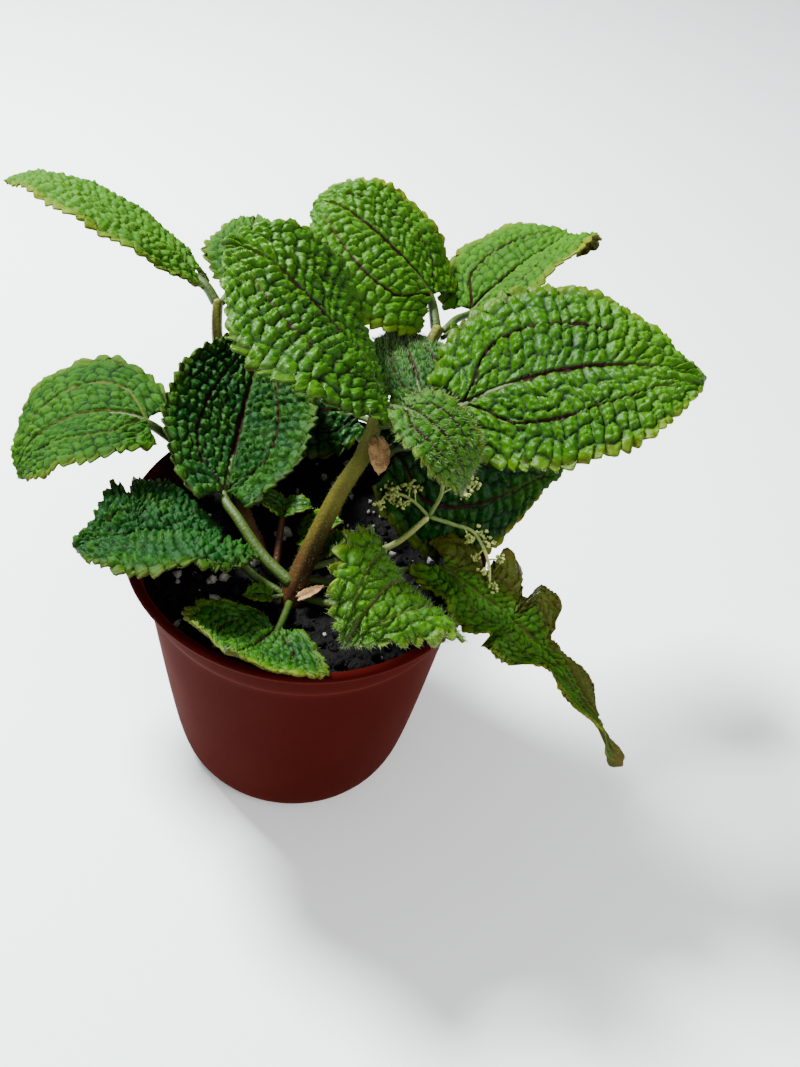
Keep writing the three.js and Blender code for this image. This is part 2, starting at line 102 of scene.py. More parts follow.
class Shell:
    """Closed surfaces gathered into one mesh, with the values painted on their points."""

    def __init__(self):
        self.points, self.faces, self.finish, self.paint = [], [], [], {}
        self.count = 0

    def add(self, points, faces, finish=0, **paint):
        """Adds a surface. Its faces are arrays of point numbers, three or four to a face."""
        points = np.asarray(points, float).reshape(-1, 3)
        for face in faces:
            if len(face):
                self.faces.append(np.asarray(face) + self.count)
                self.finish.append(np.full(len(face), finish))
        for name in set(self.paint) | set(paint):
            before = self.paint.setdefault(name, [np.zeros(self.count)])
            before.append(np.broadcast_to(np.asarray(paint.get(name, 0.0), float).ravel(), len(points)))
        self.points.append(points)
        self.count += len(points)

    def build(self, name, finishes, nodes=()):
        """Writes the mesh in metres, with its materials, ties it to the body, and hides the CAD nodes that it
        stands for.
        """
        mesh = bpy.data.meshes.new(name)
        points = np.concatenate(self.points) * MM
        corners = np.concatenate([face.ravel() for face in self.faces])
        sizes = np.concatenate([np.full(len(face), face.shape[1]) for face in self.faces])
        mesh.vertices.add(len(points))
        mesh.vertices.foreach_set("co", points.ravel())
        mesh.loops.add(len(corners))
        mesh.loops.foreach_set("vertex_index", corners)
        mesh.polygons.add(len(sizes))
        mesh.polygons.foreach_set("loop_start", np.concatenate([[0], np.cumsum(sizes)[:-1]]))
        mesh.polygons.foreach_set("material_index", np.concatenate(self.finish))
        mesh.update(calc_edges=True)
        mesh.shade_smooth()
        for key, values in self.paint.items():
            layer = mesh.attributes.new(key, "FLOAT", "POINT")
            layer.data.foreach_set("value", np.concatenate(values))
        for finish in finishes:
            mesh.materials.append(finish)
        piece = add_object(name, mesh)
        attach(piece, BODY)
        if nodes:
            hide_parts(*nodes)
        return piece


def grid_faces(rows, cols, wrap=False):
    """Quads of a grid, rows by cols points, that face along (down the rows) x (across the columns)."""
    index = np.arange(rows * cols).reshape(rows, cols)
    if wrap:
        index = np.concatenate([index, index[:, :1]], axis=1)
    return np.stack([index[:-1, :-1], index[1:, :-1], index[1:, 1:], index[:-1, 1:]], -1).reshape(-1, 4)


def capped_tube(rows, sides):
    """Faces of a tube, rows by sides points, and of the fans that close it on two more points, its first
    and its last pole. They face outwards where the sides turn left about the way that the rows run."""
    count = rows * sides
    first = np.arange(sides)
    last = first + count - sides
    return [
        grid_faces(rows, sides, wrap=True)[:, ::-1],
        np.stack([np.full(sides, count), np.roll(first, -1), first], -1),
        np.stack([np.full(sides, count + 1), last, np.roll(last, -1)], -1),
    ]


def full_turn(count):
    """Angles evenly round a circle."""
    return np.linspace(0, 2 * np.pi, count, endpoint=False)


def turned(radius, turn, height):
    """Points at these radii, turns and heights about the Z axis."""
    return np.stack(np.broadcast_arrays(radius * np.cos(turn), radius * np.sin(turn), height), -1)


def sheet_shell(shell, top, under, paint):
    """A thin solid between two grids of the same size: the top, the underside turned over, and a rim wall
    round their edges."""
    rows, cols = top.shape[:2]
    count = rows * cols
    quads = grid_faces(rows, cols)
    index = np.arange(count).reshape(rows, cols)
    ring = np.concatenate([index[:, 0], index[-1, 1:], index[-2::-1, -1], index[0, -2:0:-1]])
    ahead = np.roll(ring, -1)
    wall = np.stack([ahead, ring, ring + count, ahead + count], -1)
    both = {key: np.concatenate([value.ravel(), value.ravel()]) for key, value in paint.items()}
    both["under"] = np.concatenate([np.zeros(count), np.ones(count)])
    points = np.concatenate([top.reshape(-1, 3), under.reshape(-1, 3)])
    shell.add(points, [quads, quads[:, ::-1] + count, wall], **both)


def between(a, b, start, end, t):
    """The value at t on the line from a at start to b at end."""
    return (end - t) / (end - start) * a + (t - start) / (end - start) * b


def smooth_path(knots, steps):
    """Points at even arc lengths on the centripetal Catmull-Rom curve through the knots, and its length.
    Each segment is blended from its four nearest knots, spaced by the square root of their distances."""
    knots = np.asarray(knots, float)
    knots = np.concatenate([[2 * knots[0] - knots[1]], knots, [2 * knots[-1] - knots[-2]]])
    dense = [knots[1][None]]
    for k in range(1, len(knots) - 2):
        p0, p1, p2, p3 = knots[k - 1 : k + 3]
        gaps = [max(np.linalg.norm(b - a), 1e-6) ** 0.5 for a, b in ((p0, p1), (p1, p2), (p2, p3))]
        t0, t1, t2, t3 = np.concatenate([[0], np.cumsum(gaps)])
        t = np.linspace(t1, t2, SEGMENT_STEPS + 1)[1:, None]
        a1, a2, a3 = between(p0, p1, t0, t1, t), between(p1, p2, t1, t2, t), between(p2, p3, t2, t3, t)
        b1, b2 = between(a1, a2, t0, t2, t), between(a2, a3, t1, t3, t)
        dense.append(between(b1, b2, t1, t2, t))
    dense = np.concatenate(dense)
    run = np.concatenate([[0], np.cumsum(np.linalg.norm(np.diff(dense, axis=0), axis=1))])
    at = np.linspace(0, run[-1], steps + 1)
    return np.stack([np.interp(at, run, dense[:, axis]) for axis in range(3)], -1), run[-1]


def carried_frames(path):
    """The way ahead, a side and a lift at each point of a path. The side is carried along from point to
    point with its part along the path taken out, so that it never spins."""
    ahead = unit(np.gradient(path, axis=0))
    side = np.cross(ahead[0], [0.0, 0.0, 1.0])
    if np.linalg.norm(side) < 0.2:
        side = np.cross(ahead[0], [0.0, 1.0, 0.0])
    sides = []
    for way in ahead:
        side = unit(side - way * (side @ way))
        sides.append(side)
    sides = np.array(sides)
    return ahead, sides, np.cross(ahead, sides)


def rod(shell, knots, radius, sides=12, step=1.2, ridge=0.0, finish=0, **paint):
    """A round rod along a smooth curve, its radius a function of the share of its length, with a slight
    wavy ridge round it, closed by a pole at each end. Paint is a function of that share too."""
    _, run = smooth_path(knots, 8)
    steps = max(6, int(run / step))
    path, run = smooth_path(knots, steps)
    share = np.linspace(0, 1, steps + 1)
    ahead, side, lift = carried_frames(path)
    turn = full_turn(sides)
    round_off = np.sqrt(np.clip(np.minimum(share, 1 - share) * run / END_ROUNDING, END_LEAST, 1))
    size = (radius(share) * round_off)[:, None] * (1 + ridge * np.cos(5 * turn)[None])
    ring = (
        path[:, None]
        + size[..., None] * np.cos(turn)[None, :, None] * side[:, None]
        + size[..., None] * np.sin(turn)[None, :, None] * lift[:, None]
    )
    values = {}
    for key, value in paint.items():
        along = value(share)
        values[key] = np.concatenate([np.repeat(along, sides), along[:1], along[-1:]])
    points = np.concatenate([ring.reshape(-1, 3), path[:1], path[-1:]])
    shell.add(points, capped_tube(steps + 1, sides), finish, **values)
    return path, ahead, side, lift


def taper(thick, thin):
    """The radius of a rod that runs evenly from thick to thin."""
    return lambda share: mix(thick, thin, share)


def hairs(shell, roots, ways, lengths, thick, finish):
    """Fine hairs: each is a slender closed cone on three sides, its foot a little below the skin."""
    ways = unit(ways)
    side = unit(np.cross(ways, np.where(np.abs(ways[:, 2:]) < 0.9, [[0, 0, 1.0]], [[1.0, 0, 0]])))
    lift = np.cross(ways, side)
    foot = roots - HAIR_ROOT * ways
    corners = [foot + thick * (np.cos(turn) * side + np.sin(turn) * lift) for turn in full_turn(3)]
    points = np.stack(corners + [roots + ways * lengths[:, None]], 1)
    start = 4 * np.arange(len(roots))[:, None]
    faces = np.concatenate([start + face for face in ([0, 1, 3], [1, 2, 3], [2, 0, 3], [2, 1, 0])])
    shell.add(points, [faces], finish)


def pebbles(shell, centres, sizes, seed, finish=0):
    """Small rough grains. Each is a ball of a few rings whose points are pushed in and out at random,
    stretched and turned."""
    draw = np.random.default_rng(seed)
    tilt = np.pi * (np.arange(GRAIN_RINGS) + 1) / (GRAIN_RINGS + 1)
    ball = turned(np.sin(tilt)[:, None], full_turn(GRAIN_SIDES), np.cos(tilt)[:, None]).reshape(-1, 3)
    ball = np.concatenate([ball, [[0, 0, 1.0], [0, 0, -1.0]]])
    number, count = len(centres), len(ball)
    rough = 1 + 0.24 * draw.normal(size=(number, count, 1)).clip(-1.5, 1.5)
    stretch = draw.uniform(0.65, 1.2, (number, 1, 3))
    spin = draw.uniform(0, 2 * np.pi, (number, 1))
    shape = ball[None] * rough * stretch * np.asarray(sizes)[:, None, None]
    x = shape[..., 0] * np.cos(spin) - shape[..., 1] * np.sin(spin)
    y = shape[..., 0] * np.sin(spin) + shape[..., 1] * np.cos(spin)
    points = np.stack([x, y, shape[..., 2]], -1) + np.asarray(centres)[:, None]
    start = count * np.arange(number)[:, None, None]
    quads, *caps = capped_tube(GRAIN_RINGS, GRAIN_SIDES)
    faces = [(face[:, ::-1] + start).reshape(-1, face.shape[1]) for face in (quads, np.concatenate(caps))]
    shell.add(points, faces, finish)


def add_object(name, data):
    """Puts a mesh, a light or a camera into the scene."""
    placed = bpy.data.objects.new(name, data)
    bpy.context.scene.collection.objects.link(placed)
    return placed


# ---------------------------------------------------------------- finishes
def arithmetic(operation):
    """A method and its reflected form that add a Math node."""

    def plain(self, other):
        return self.calculate(operation, self, other)

    def reflected(self, other):
        return self.calculate(operation, other, self)

    return plain, reflected


class Signal:
    """A socket of a material. Arithmetic on it adds Math nodes."""

    def __init__(self, finish, socket):
        self.finish, self.socket = finish, socket

    def calculate(self, operation, a, b):
        return self.finish.node("ShaderNodeMath", {"operation": operation}, {0: a, 1: b})

    __add__, __radd__ = arithmetic("ADD")
    __sub__, __rsub__ = arithmetic("SUBTRACT")
    __mul__, __rmul__ = arithmetic("MULTIPLY")


class Finish:
    """A material that is built from expressions on signals."""

    def __init__(self, name):
        self.material = bpy.data.materials.new(name)
        self.material.use_nodes = True
        self.tree = self.material.node_tree
        self.shader = self.tree.nodes["Principled BSDF"]

    def node(self, kind, settings=None, sockets=None, output=0):
        """Any node: its settings are set first, then its sockets get values or links."""
        made = self.tree.nodes.new(kind)
        for key, value in (settings or {}).items():
            setattr(made, key, value)
        for key, value in (sockets or {}).items():
            entry = made.inputs[key]
            if isinstance(value, Signal):
                self.tree.links.new(value.socket, entry)
            else:
                entry.default_value = (*value[:3], 1) if entry.type == "RGBA" else value
        return Signal(self, made.outputs[output])

    def painted(self, name):
        """The value painted on the mesh under this name."""
        return self.node("ShaderNodeAttribute", {"attribute_name": name}, output="Fac")

    def place(self):
        """Object coordinates, which are the frame's own."""
        return self.node("ShaderNodeTexCoord", output="Object")

    def noise(self, size, detail=2.0, rough=0.5, warp=0.0):
        """Soft noise from 0 to 1 whose patches are about size metres across."""
        sockets = {"Vector": self.place(), "Scale": 1 / size, "Detail": detail, "Roughness": rough}
        return self.node("ShaderNodeTexNoise", None, {**sockets, "Distortion": warp})

    def cells(self, size, feature="F1"):
        """Distance to the nearest of scattered points that lie about size metres apart."""
        sockets = {"Vector": self.place(), "Scale": 1 / size}
        return self.node("ShaderNodeTexVoronoi", {"feature": feature}, sockets)

    def span(self, value, low, high):
        """0 where the value is below low and 1 above high, smoothly."""
        settings = {"interpolation_type": "SMOOTHSTEP", "clamp": True}
        return self.node("ShaderNodeMapRange", settings, {"Value": value, "From Min": low, "From Max": high})

    def blend(self, share, first, second):
        """A colour between two, by share."""
        settings = {"data_type": "RGBA", "clamp_factor": True}
        return self.node("ShaderNodeMix", settings, {"Factor": share, 6: first, 7: second}, output=2)

    def dress(self, colour, roughness, relief, depth, **steady):
        """Feeds the shader: its colour, roughness and bump vary, and the steady values are set on it."""
        links = self.tree.links
        links.new(colour.socket, self.shader.inputs["Base Color"])
        links.new(roughness.socket, self.shader.inputs["Roughness"])
        bump = self.node("ShaderNodeBump", None, {"Height": relief, "Distance": depth, "Strength": 1.0})
        links.new(bump.socket, self.shader.inputs["Normal"])
        for key, value in steady.items():
            self.shader.inputs[key.replace("_", " ")].default_value = value
        return self.material


# ---------------------------------------------------------------- settings
def colour_setting(name, description, colour):
    return FloatVectorProperty(
        name=name, description=description, subtype="COLOR", size=3, min=0, max=1, default=linear(*colour)
    )


def length_setting(name, description, millimetres):
    return FloatProperty(name=name, description=description, default=millimetres * MM, unit="LENGTH", min=0)


class PotSettings(bpy.types.PropertyGroup):
    height: length_setting("Height", "Height of the pot over its lip", 108)
    rim_radius: length_setting("Rim radius", "Outer radius of the rolled lip", 60)
    base_radius: length_setting("Base radius", "Outer radius at the foot", 41)
    plastic: colour_setting("Plastic", "Colour of the moulded plastic", (47, 13, 11))


class MixSettings(bpy.types.PropertyGroup):
    level: length_setting("Level", "Height of the soil surface", 97)
    peat: colour_setting("Peat", "Colour of the moist peat", (13, 11, 9))
    grain: colour_setting("Mineral grain", "Colour of the pale mineral grains", (128, 126, 118))
    grains: IntProperty(name="Grains", description="Number of pale grains", default=150, min=0)
    crumbs: IntProperty(name="Crumbs", description="Number of peat crumbs", default=900, min=0)


class LeafSettings(bpy.types.PropertyGroup):
    mesh_step: length_setting("Mesh step", "Distance between mesh points on a leaf", 0.5)
    thickness: length_setting("Thickness", "Thickness of the blade", 0.55)
    dome: length_setting("Dome height", "Height of the quilted domes over the veins", 2.3)
    tooth: length_setting("Tooth", "Depth of the teeth at the margin", 2.4)
    tooth_pitch: length_setting("Tooth pitch", "Distance between teeth", 5.2)
    hair: length_setting("Hair length", "Length of the hairs on the blade", 1.2)
    hair_density: FloatProperty(
        name="Hair density", description="Hairs on each square millimetre", default=0.16, min=0
    )
    bright: colour_setting("Bright green", "Domes of a light leaf", (52, 92, 2))
    # The deep green is darker than the leaves' own green, so that it also paints the shade on the leaves that
    # lie behind the others.
    deep: colour_setting("Deep green", "Domes of a dark leaf", (6, 50, 0))
    # The groove green between the domes is painted shade: the creases are darkened in their colour.
    groove_shade: colour_setting("Groove", "Between the domes", (4, 18, 1))
    margin: colour_setting("Margin", "Teeth and margin", (100, 102, 18))
    vein: colour_setting("Vein", "Red-brown main veins", (34, 12, 6))
    pale_vein: colour_setting("Pale vein", "Pale main veins", (78, 92, 40))
    underside: colour_setting("Underside", "Pale lower face", (66, 66, 22))
    faded: colour_setting("Faded", "Dry brown parts", (84, 66, 28))


class StemSettings(bpy.types.PropertyGroup):
    foot: colour_setting("Foot", "Colour at the soil", (58, 30, 10))
    upper: colour_setting("Upper", "Colour of the upper stem", (82, 84, 18))
    petiole: colour_setting("Leaf stalk", "Colour of the leaf stalks", (50, 68, 22))
    papery: colour_setting("Papery", "Colour of the dry scales", (170, 134, 88))


class FlowerSettings(bpy.types.PropertyGroup):
    twig: colour_setting("Twig", "Colour of the flower stalk", (86, 104, 52))
    bud: colour_setting("Bud", "Colour of the buds", (166, 174, 100))
    bud_radius: length_setting("Bud radius", "Radius of one bud", 0.62)


class StageSettings(bpy.types.PropertyGroup):
    floor: colour_setting("Floor", "Colour of the floor", (244, 244, 244))
    key: FloatProperty(name="Key light", description="Power of the key light in watts", default=48)
    sky: FloatProperty(name="Sky light", description="Strength of the even light", default=0.75)


def settings(name):
    return getattr(bpy.context.scene, "plant_" + name)


# ---------------------------------------------------------------- leaf shape
MIDRIB_STEPS = 48
WIDEST_AT = 0.38  # share of the length where a blade is widest
BASE_LOBE = 0.1  # share of the length that the lobes reach back behind the base
TIP_HALF = 0.35  # half the width of a tip
MIDRIB_DEPTH = 0.9
LARGE_CELL = 5.2  # domes of this size get the full tooth pitch
SHORT_LEAF = 25  # shorter leaves have a finer mesh and shorter hairs, by the next two shares
SHORT_MESH = 0.7
SHORT_HAIR = 0.8
SHAGGY = 6  # leaves with more fuzz than this have longer hairs, by the next share
SHAGGY_HAIR = 1.5
STOUT_FROM = 5  # leaves with this much fuzz or more have the stout hairs
FINE_HAIR, STOUT_HAIR = 0.05, 0.075
STALK, HAIR = 1, 2  # the places of a leaf's second and third finish
NUBS = 2.6  # nubs to a dome each way
SEAM_JITTER = (0.42, 0.75)  # how far the middles of domes stray, along and across
ROW_LEAD = 4  # keeps the row numbers above 0
HALF_COLUMNS, OUTER_COLUMNS = 40, 20  # numbers that keep the draws of the left and outer domes apart
WAVE_LENGTH = 17
WANDER_LENGTH = 26


@dataclass
class Leaf:
    """One leaf: where its midrib starts, its length and width, the azimuth and pitch it leaves with, how far
    it bends down, and the bends of its stalk. Angles are degrees and sizes millimetres. Then come its turns
    and folds, its outline, tears (side, place, width and depth as shares), the size and rise of its domes,
    and its look: tone runs from 0, deep green, to 1, light green, and tip_tone is added at the tip. rust is
    the red of the veins, fade the dry brown, edge the colour of the margin, scorch the browning of the left
    half, and gloss, fuzz and tooth are shares of the usual gloss, hairs and teeth. wave is its waviness."""

    name: str
    base: tuple
    length: float
    width: float
    az: float
    pitch: float
    bend: float
    stalk: tuple
    sway: float = 0
    curl: float = 0
    roll: float = 0
    twist: float = 0
    fold: float = 0
    arch: float = 0
    skew: float = 0
    base_share: float = 0.3
    pinch: float = 0
    stalk_radius: tuple = (1.9, 1.3)
    tears: tuple = ()
    cell: float = 4.4
    rise: float = 1.0
    tooth: float = 1.0
    tone: float = 0.5
    tip_tone: float = 0.3
    rust: float = 1.0
    fade: float = 0.0
    edge: float = 0.65
    scorch: float = 0.0
    gloss: float = 1.0
    fuzz: float = 1.0
    wave: float = 0.8


LEAVES = [
    Leaf(
        "leaf_right_large", (42, 14, 160), 80, 66, 15, 39, 61, ((17, 4, 155), (28, 8, 155)), roll=19,
        twist=-13, fold=4, arch=15, skew=0.045, base_share=0.35, cell=6.0, tone=0.6, tip_tone=0.8,
        edge=0.5,
    ),
    Leaf(
        "leaf_front_large", (17, 10, 163), 65, 68, 156.5, 47, 24.5, ((17, 5, 155),), sway=15, curl=44,
        roll=40, twist=-63.5, fold=6.6, arch=24.5, skew=0.08, base_share=0.4, cell=5.2, tooth=1.25,
        tone=0.55, tip_tone=0.45, edge=0.15,
    ),
    Leaf(
        "leaf_left_middle", (-29, 4, 114), 70, 54, 95, 7, -21,
        ((-1, -20, 103), (-12, -13, 106), (-23, -3, 111)), sway=-8, roll=5, twist=3, fold=15, arch=-23,
        stalk_radius=(2.0, 1.5), cell=3.5, rise=1.35, tone=0.12, tip_tone=0.1, edge=0.2, gloss=0.55,
        fuzz=0.4,
    ),
    Leaf(
        "leaf_far_left", (-57, 15, 130), 60, 46.5, 177, 16, 95,
        ((-30, 20, 108), (-42, 20, 112), (-52, 18, 122)), sway=34, roll=-5, fold=7, arch=12, skew=-0.075,
        cell=2.9, tone=0.36, tip_tone=0.4, rust=0.4, edge=0.4, gloss=0.25, fuzz=0.6,
    ),
    Leaf(
        "leaf_top_left", (-58, 75, 149), 73, 46, 169, 35, 33, ((-47, 67, 142), (-52, 71, 146)), sway=8,
        curl=38, roll=28, twist=-12, fold=17, arch=41, cell=3.0, tone=0.87, tip_tone=0.4, rust=0.4,
        edge=0.8, gloss=0.4,
    ),
    Leaf(
        "leaf_top_left_behind", (-40.3, 79.5, 146.8), 40, 31.5, 97, 24, 42,
        ((-46, 67, 142), (-43.5, 74, 144.3)), roll=-6, fold=3, arch=17, stalk_radius=(1.3, 1), cell=3.2,
        tone=0.5, rust=0.5, gloss=0.4,
    ),
    # Its light yellow-green tone is partly the leaf's own colour and partly painted light, standing in for
    # light shining through it from behind.
    Leaf(
        "leaf_top_middle", (27, 65.6, 162), 57, 56, 162.5, 45, 40, ((30, 55, 156),), curl=100, roll=-3,
        twist=-15, fold=6, arch=21, skew=0.17, base_share=0.42, cell=3.6, tone=0.85, tip_tone=0.5,
        edge=1.1, gloss=0.8,
    ),
    # Its light yellow-green tone is partly the leaf's own colour and partly painted light, standing in for
    # light shining through it from behind.
    Leaf(
        "leaf_top_right", (40.5, 68.3, 157.4), 58, 44, 50, 34, 28, ((32.5, 54.3, 156.2), (36, 61.5, 157)),
        sway=-14, curl=120, roll=-15, twist=-9, fold=20, arch=20, skew=0.1, base_share=0.32,
        stalk_radius=(1.4, 1.1), cell=3.2, tone=0.75, tip_tone=0.6, edge=1.0, gloss=0.35,
    ),
    Leaf(
        "leaf_centre_back", (29.6, 21.5, 152.5), 41, 28, 109.5, 21, 46,
        ((18.2, 6.5, 152.2), (24, 13, 153.8)), sway=5, roll=-2, fold=3, arch=17, skew=-0.1, base_share=0.3,
        stalk_radius=(1.2, 1), cell=2.6, rise=0.8, tone=0.25, gloss=0.5, fuzz=14,
    ),
    Leaf(
        "leaf_centre_front", (25, -2, 168), 35, 23, -27, 15, 105, ((20, 4, 162),), roll=8, fold=9, arch=20,
        stalk_radius=(1.2, 1), cell=2.6, rise=0.8, tone=0.6, gloss=0.6, fuzz=14,
    ),
    # Tone 0 gives this leaf the deep green: painted shade, as it lies in shade behind the stems and leaves.
    Leaf(
        "leaf_behind_left", (8, 49, 119), 40, 38, 180, 0, 12,
        ((14, 23, 125), (15, 36, 122), (13, 45, 120)), roll=-15, arch=15, stalk_radius=(1.3, 1), cell=4.0,
        tone=0,
    ),
    # Tone 0 gives this leaf the deep green: painted shade, as it lies in the shade of the large right leaf.
    Leaf(
        "leaf_behind_right", (24, 6, 144.1), 64, 56, 25, -4, 4, ((16, 4, 141), (21, 5, 142)), sway=-11,
        curl=39, roll=67, twist=-11, arch=17, skew=-0.42, cell=4.6, tone=0, edge=1.0,
    ),
    Leaf(
        "leaf_low_left", (-26, -11, 108), 48.5, 60, 208, 41, 66,
        ((-1, -21, 98), (-12, -18, 100), (-21, -14, 104)), sway=-5, roll=25, twist=-17, fold=16, arch=18,
        stalk_radius=(1.4, 1.1), tears=((-1, 0.6, 0.16, 0.4),), cell=3.5, rise=1.6, tooth=1.5, tone=0.0,
        tip_tone=0.1, edge=0.25, gloss=0.5, fuzz=0.3, wave=1.4,
    ),
    Leaf(
        "leaf_low_front", (-2, -40, 105), 32, 46, 245, 10, -48, ((-1, -21, 97), (-1, -30, 101)), sway=6,
        roll=2, twist=-3, arch=-10, stalk_radius=(1.3, 1), cell=2.8, rise=1.2, tone=0.27, tip_tone=0.4,
        edge=0.6, gloss=0.7, fuzz=4.5,
    ),
    Leaf(
        "leaf_low_right", (34, -29.5, 110.3), 51, 42, 247, 113, 172,
        ((0, -21, 99.5), (14, -23, 100), (27.5, -25.5, 101.5)), sway=-5, roll=-14, twist=-11, fold=14,
        arch=14, skew=0.1, stalk_radius=(1.5, 1.2), cell=4.2, tooth=1.8, tone=1.0, tip_tone=0.3, rust=0.3,
        edge=0.5, fuzz=9, wave=1.2,
    ),
    Leaf(
        "leaf_torn_right", (45, -10.5, 113), 90, 38, -24, -3, 50,
        ((1, -17, 104), (12, -16, 103), (27, -12, 107)), sway=-7, roll=-4, twist=-4, fold=7, arch=22,
        skew=0.2, pinch=0.76, stalk_radius=(1.4, 1.1),
        tears=((1, 0.16, 0.06, 0.35), (1, 0.31, 0.07, 0.75), (1, 0.46, 0.06, 0.4), (-1, 0.3, 0.06, 0.2)),
        cell=3.2, rise=1.3, tooth=1.3, tone=0.75, tip_tone=0.1, rust=0.6, fade=0.2, edge=0.9, scorch=0.5,
        gloss=0.6, fuzz=2, wave=3.0,
    ),
]

YOUNG_LOOK = {"stalk_radius": (0.9, 0.7), "cell": 1.9, "rise": 0.45, "tooth": 0.4, "fuzz": 5, "wave": 0.3}
YOUNG_LEAVES = [
    Leaf(
        "leaf_node_young", (37, 53, 161), 11, 9, -70, 10, 60, ((32, 53, 154),), fold=30, tone=0.7,
        **YOUNG_LOOK,
    ),
    Leaf(
        "leaf_young_behind_stem", (-2, 0, 104), 19, 11, -10, 60, 30, ((4, -4, 100), (1, -2, 101)), roll=20,
        fold=20, tone=0.7, **YOUNG_LOOK,
    ),
    Leaf(
        "leaf_crown_small", (8, -6, 106), 10, 8, 20, 70, 40, ((3, -6, 99), (6, -6, 102)), fold=20,
        tone=0.4, **YOUNG_LOOK,
    ),
    Leaf(
        "leaf_crown_front", (-7, -24, 100.5), 9, 7, 195, 30, 50, ((-1, -21, 99),), fold=20, tone=0.7,
        **YOUNG_LOOK,
    ),
]
SPROUT_PATH = [[-8, -13, 84], [-8, -12, 97], [-9, -2, 105], [-9, 3, 112]]
SPROUT_LEAFLETS = [
    Leaf(
        "left", (-9, 3, 111.5), 11, 8, 170, 50, 60, ((-9, 3, 110.5),), curl=60, fold=15, tone=0.3,
        **YOUNG_LOOK,
    ),
    Leaf(
        "right", (-9, 3, 111.5), 11, 8, 10, 50, 60, ((-9, 3, 110.5),), curl=80, fold=15, tone=0.3,
        **YOUNG_LOOK,
    ),
]


def half_width(leaf, s):
    """Half the blade's width: a sine from the base to the widest place, a cosine from there to the tip,
    less the share by which a wilted leaf has shrivelled past a third of its length."""
    rising = leaf.base_share + (1 - leaf.base_share) * np.sin(np.pi / 2 * np.clip(s / WIDEST_AT, 0, 1)) ** 0.7
    past = np.clip((s - WIDEST_AT) / (1 - WIDEST_AT), 0, 1)
    share = np.where(s < WIDEST_AT, rising, np.cos(np.pi / 2 * past**1.25))
    withered = leaf.pinch * smoothstep(0.35, 0.55, s)
    return np.maximum(leaf.width / 2 * share * (1 - withered), TIP_HALF)


def midrib(leaf):
    """Places and directions down the midrib. It leaves the base at an azimuth and a pitch, droops by
    bend, sways sideways, and curls in its last third. Roll and twist turn the blade about it."""
    s = np.linspace(0, 1, MIDRIB_STEPS + 1)
    late = np.clip((s - 0.65) / 0.35, 0, None)
    pitch = np.radians(leaf.pitch - leaf.bend * s - leaf.curl * late**2)
    azimuth = np.radians(leaf.az + leaf.sway * s)
    roll = np.radians(leaf.roll + leaf.twist * s)[:, None]
    ahead = np.stack([np.cos(pitch) * np.cos(azimuth), np.cos(pitch) * np.sin(azimuth), np.sin(pitch)], -1)
    level = np.stack([-np.sin(azimuth), np.cos(azimuth), 0 * azimuth], -1)
    left = level * np.cos(roll) + np.cross(ahead, level) * np.sin(roll)
    steps = ahead * leaf.length / MIDRIB_STEPS
    steps[0] = leaf.base
    return {"place": np.cumsum(steps, axis=0), "ahead": ahead, "left": left, "normal": np.cross(ahead, left)}


def blade_point(leaf, rib, s, v):
    """A point of the blade, share s along the midrib and share v across, -1 at the right margin and 1 at
    the left. Each half leaves the midrib at the fold angle and bends down by the arch angle towards its
    margin, and the lobes at the base reach back behind the midrib's start."""
    s, v = np.broadcast_arrays(np.clip(s, 0, 1), v)
    at = s * MIDRIB_STEPS
    i = np.minimum(at.astype(int), MIDRIB_STEPS - 1)
    f = (at - i)[..., None]
    here = {key: mix(value[i], value[i + 1], f) for key, value in rib.items()}
    t = np.abs(v)
    half = half_width(leaf, s) * (1 + leaf.skew * np.sign(v))
    slope = np.radians(leaf.fold - leaf.arch * t / 2)
    back = leaf.length * BASE_LOBE * (1 - s) ** 3 * t * t
    return (
        here["place"]
        + here["left"] * (half * v * np.cos(slope))[..., None]
        + here["normal"] * (half * t * np.sin(slope))[..., None]
        - here["ahead"] * back[..., None]
    )


def quilt(a, b, seed):
    """A quilt of cells: a grid of points, each moved a little at random. It gives the difference of the
    distances to the nearest two, 0 on the seams and about 1 in the middles, and a draw for each cell."""
    nearest = np.full(a.shape, 9.0)
    second = np.full(a.shape, 9.0)
    tag = np.zeros(a.shape)
    row, col = np.floor(a), np.floor(b)
    for da in (-1, 0, 1):
        for db in (-1, 0, 1):
            i, j = row + da, col + db
            x = i + 0.5 + SEAM_JITTER[0] * (chance(i, j, seed) - 0.5) - a
            y = j + 0.5 + SEAM_JITTER[1] * (chance(i, j, seed + 5) - 0.5) - b
            far = np.hypot(x, y)
            closer = far < nearest
            second = np.where(closer, nearest, np.minimum(second, far))
            tag = np.where(closer, chance(i, j, seed + 9), tag)
            nearest = np.where(closer, far, nearest)
    return second - nearest, tag


def torn_share(leaf, s, side):
    """How much of the half width is torn away: a jagged notch, deepest in its middle."""
    lost = np.zeros_like(s)
    for tear_side, at, wide, deep in leaf.tears:
        notch = np.clip(1 - 2 * np.abs(s - at) / wide, 0, 1)
        jagged = 1 + 0.25 * np.sin(s * 260) + 0.15 * np.sin(s * 610)
        lost = np.where(side == tear_side, np.maximum(lost, deep * notch * jagged), lost)
    return lost


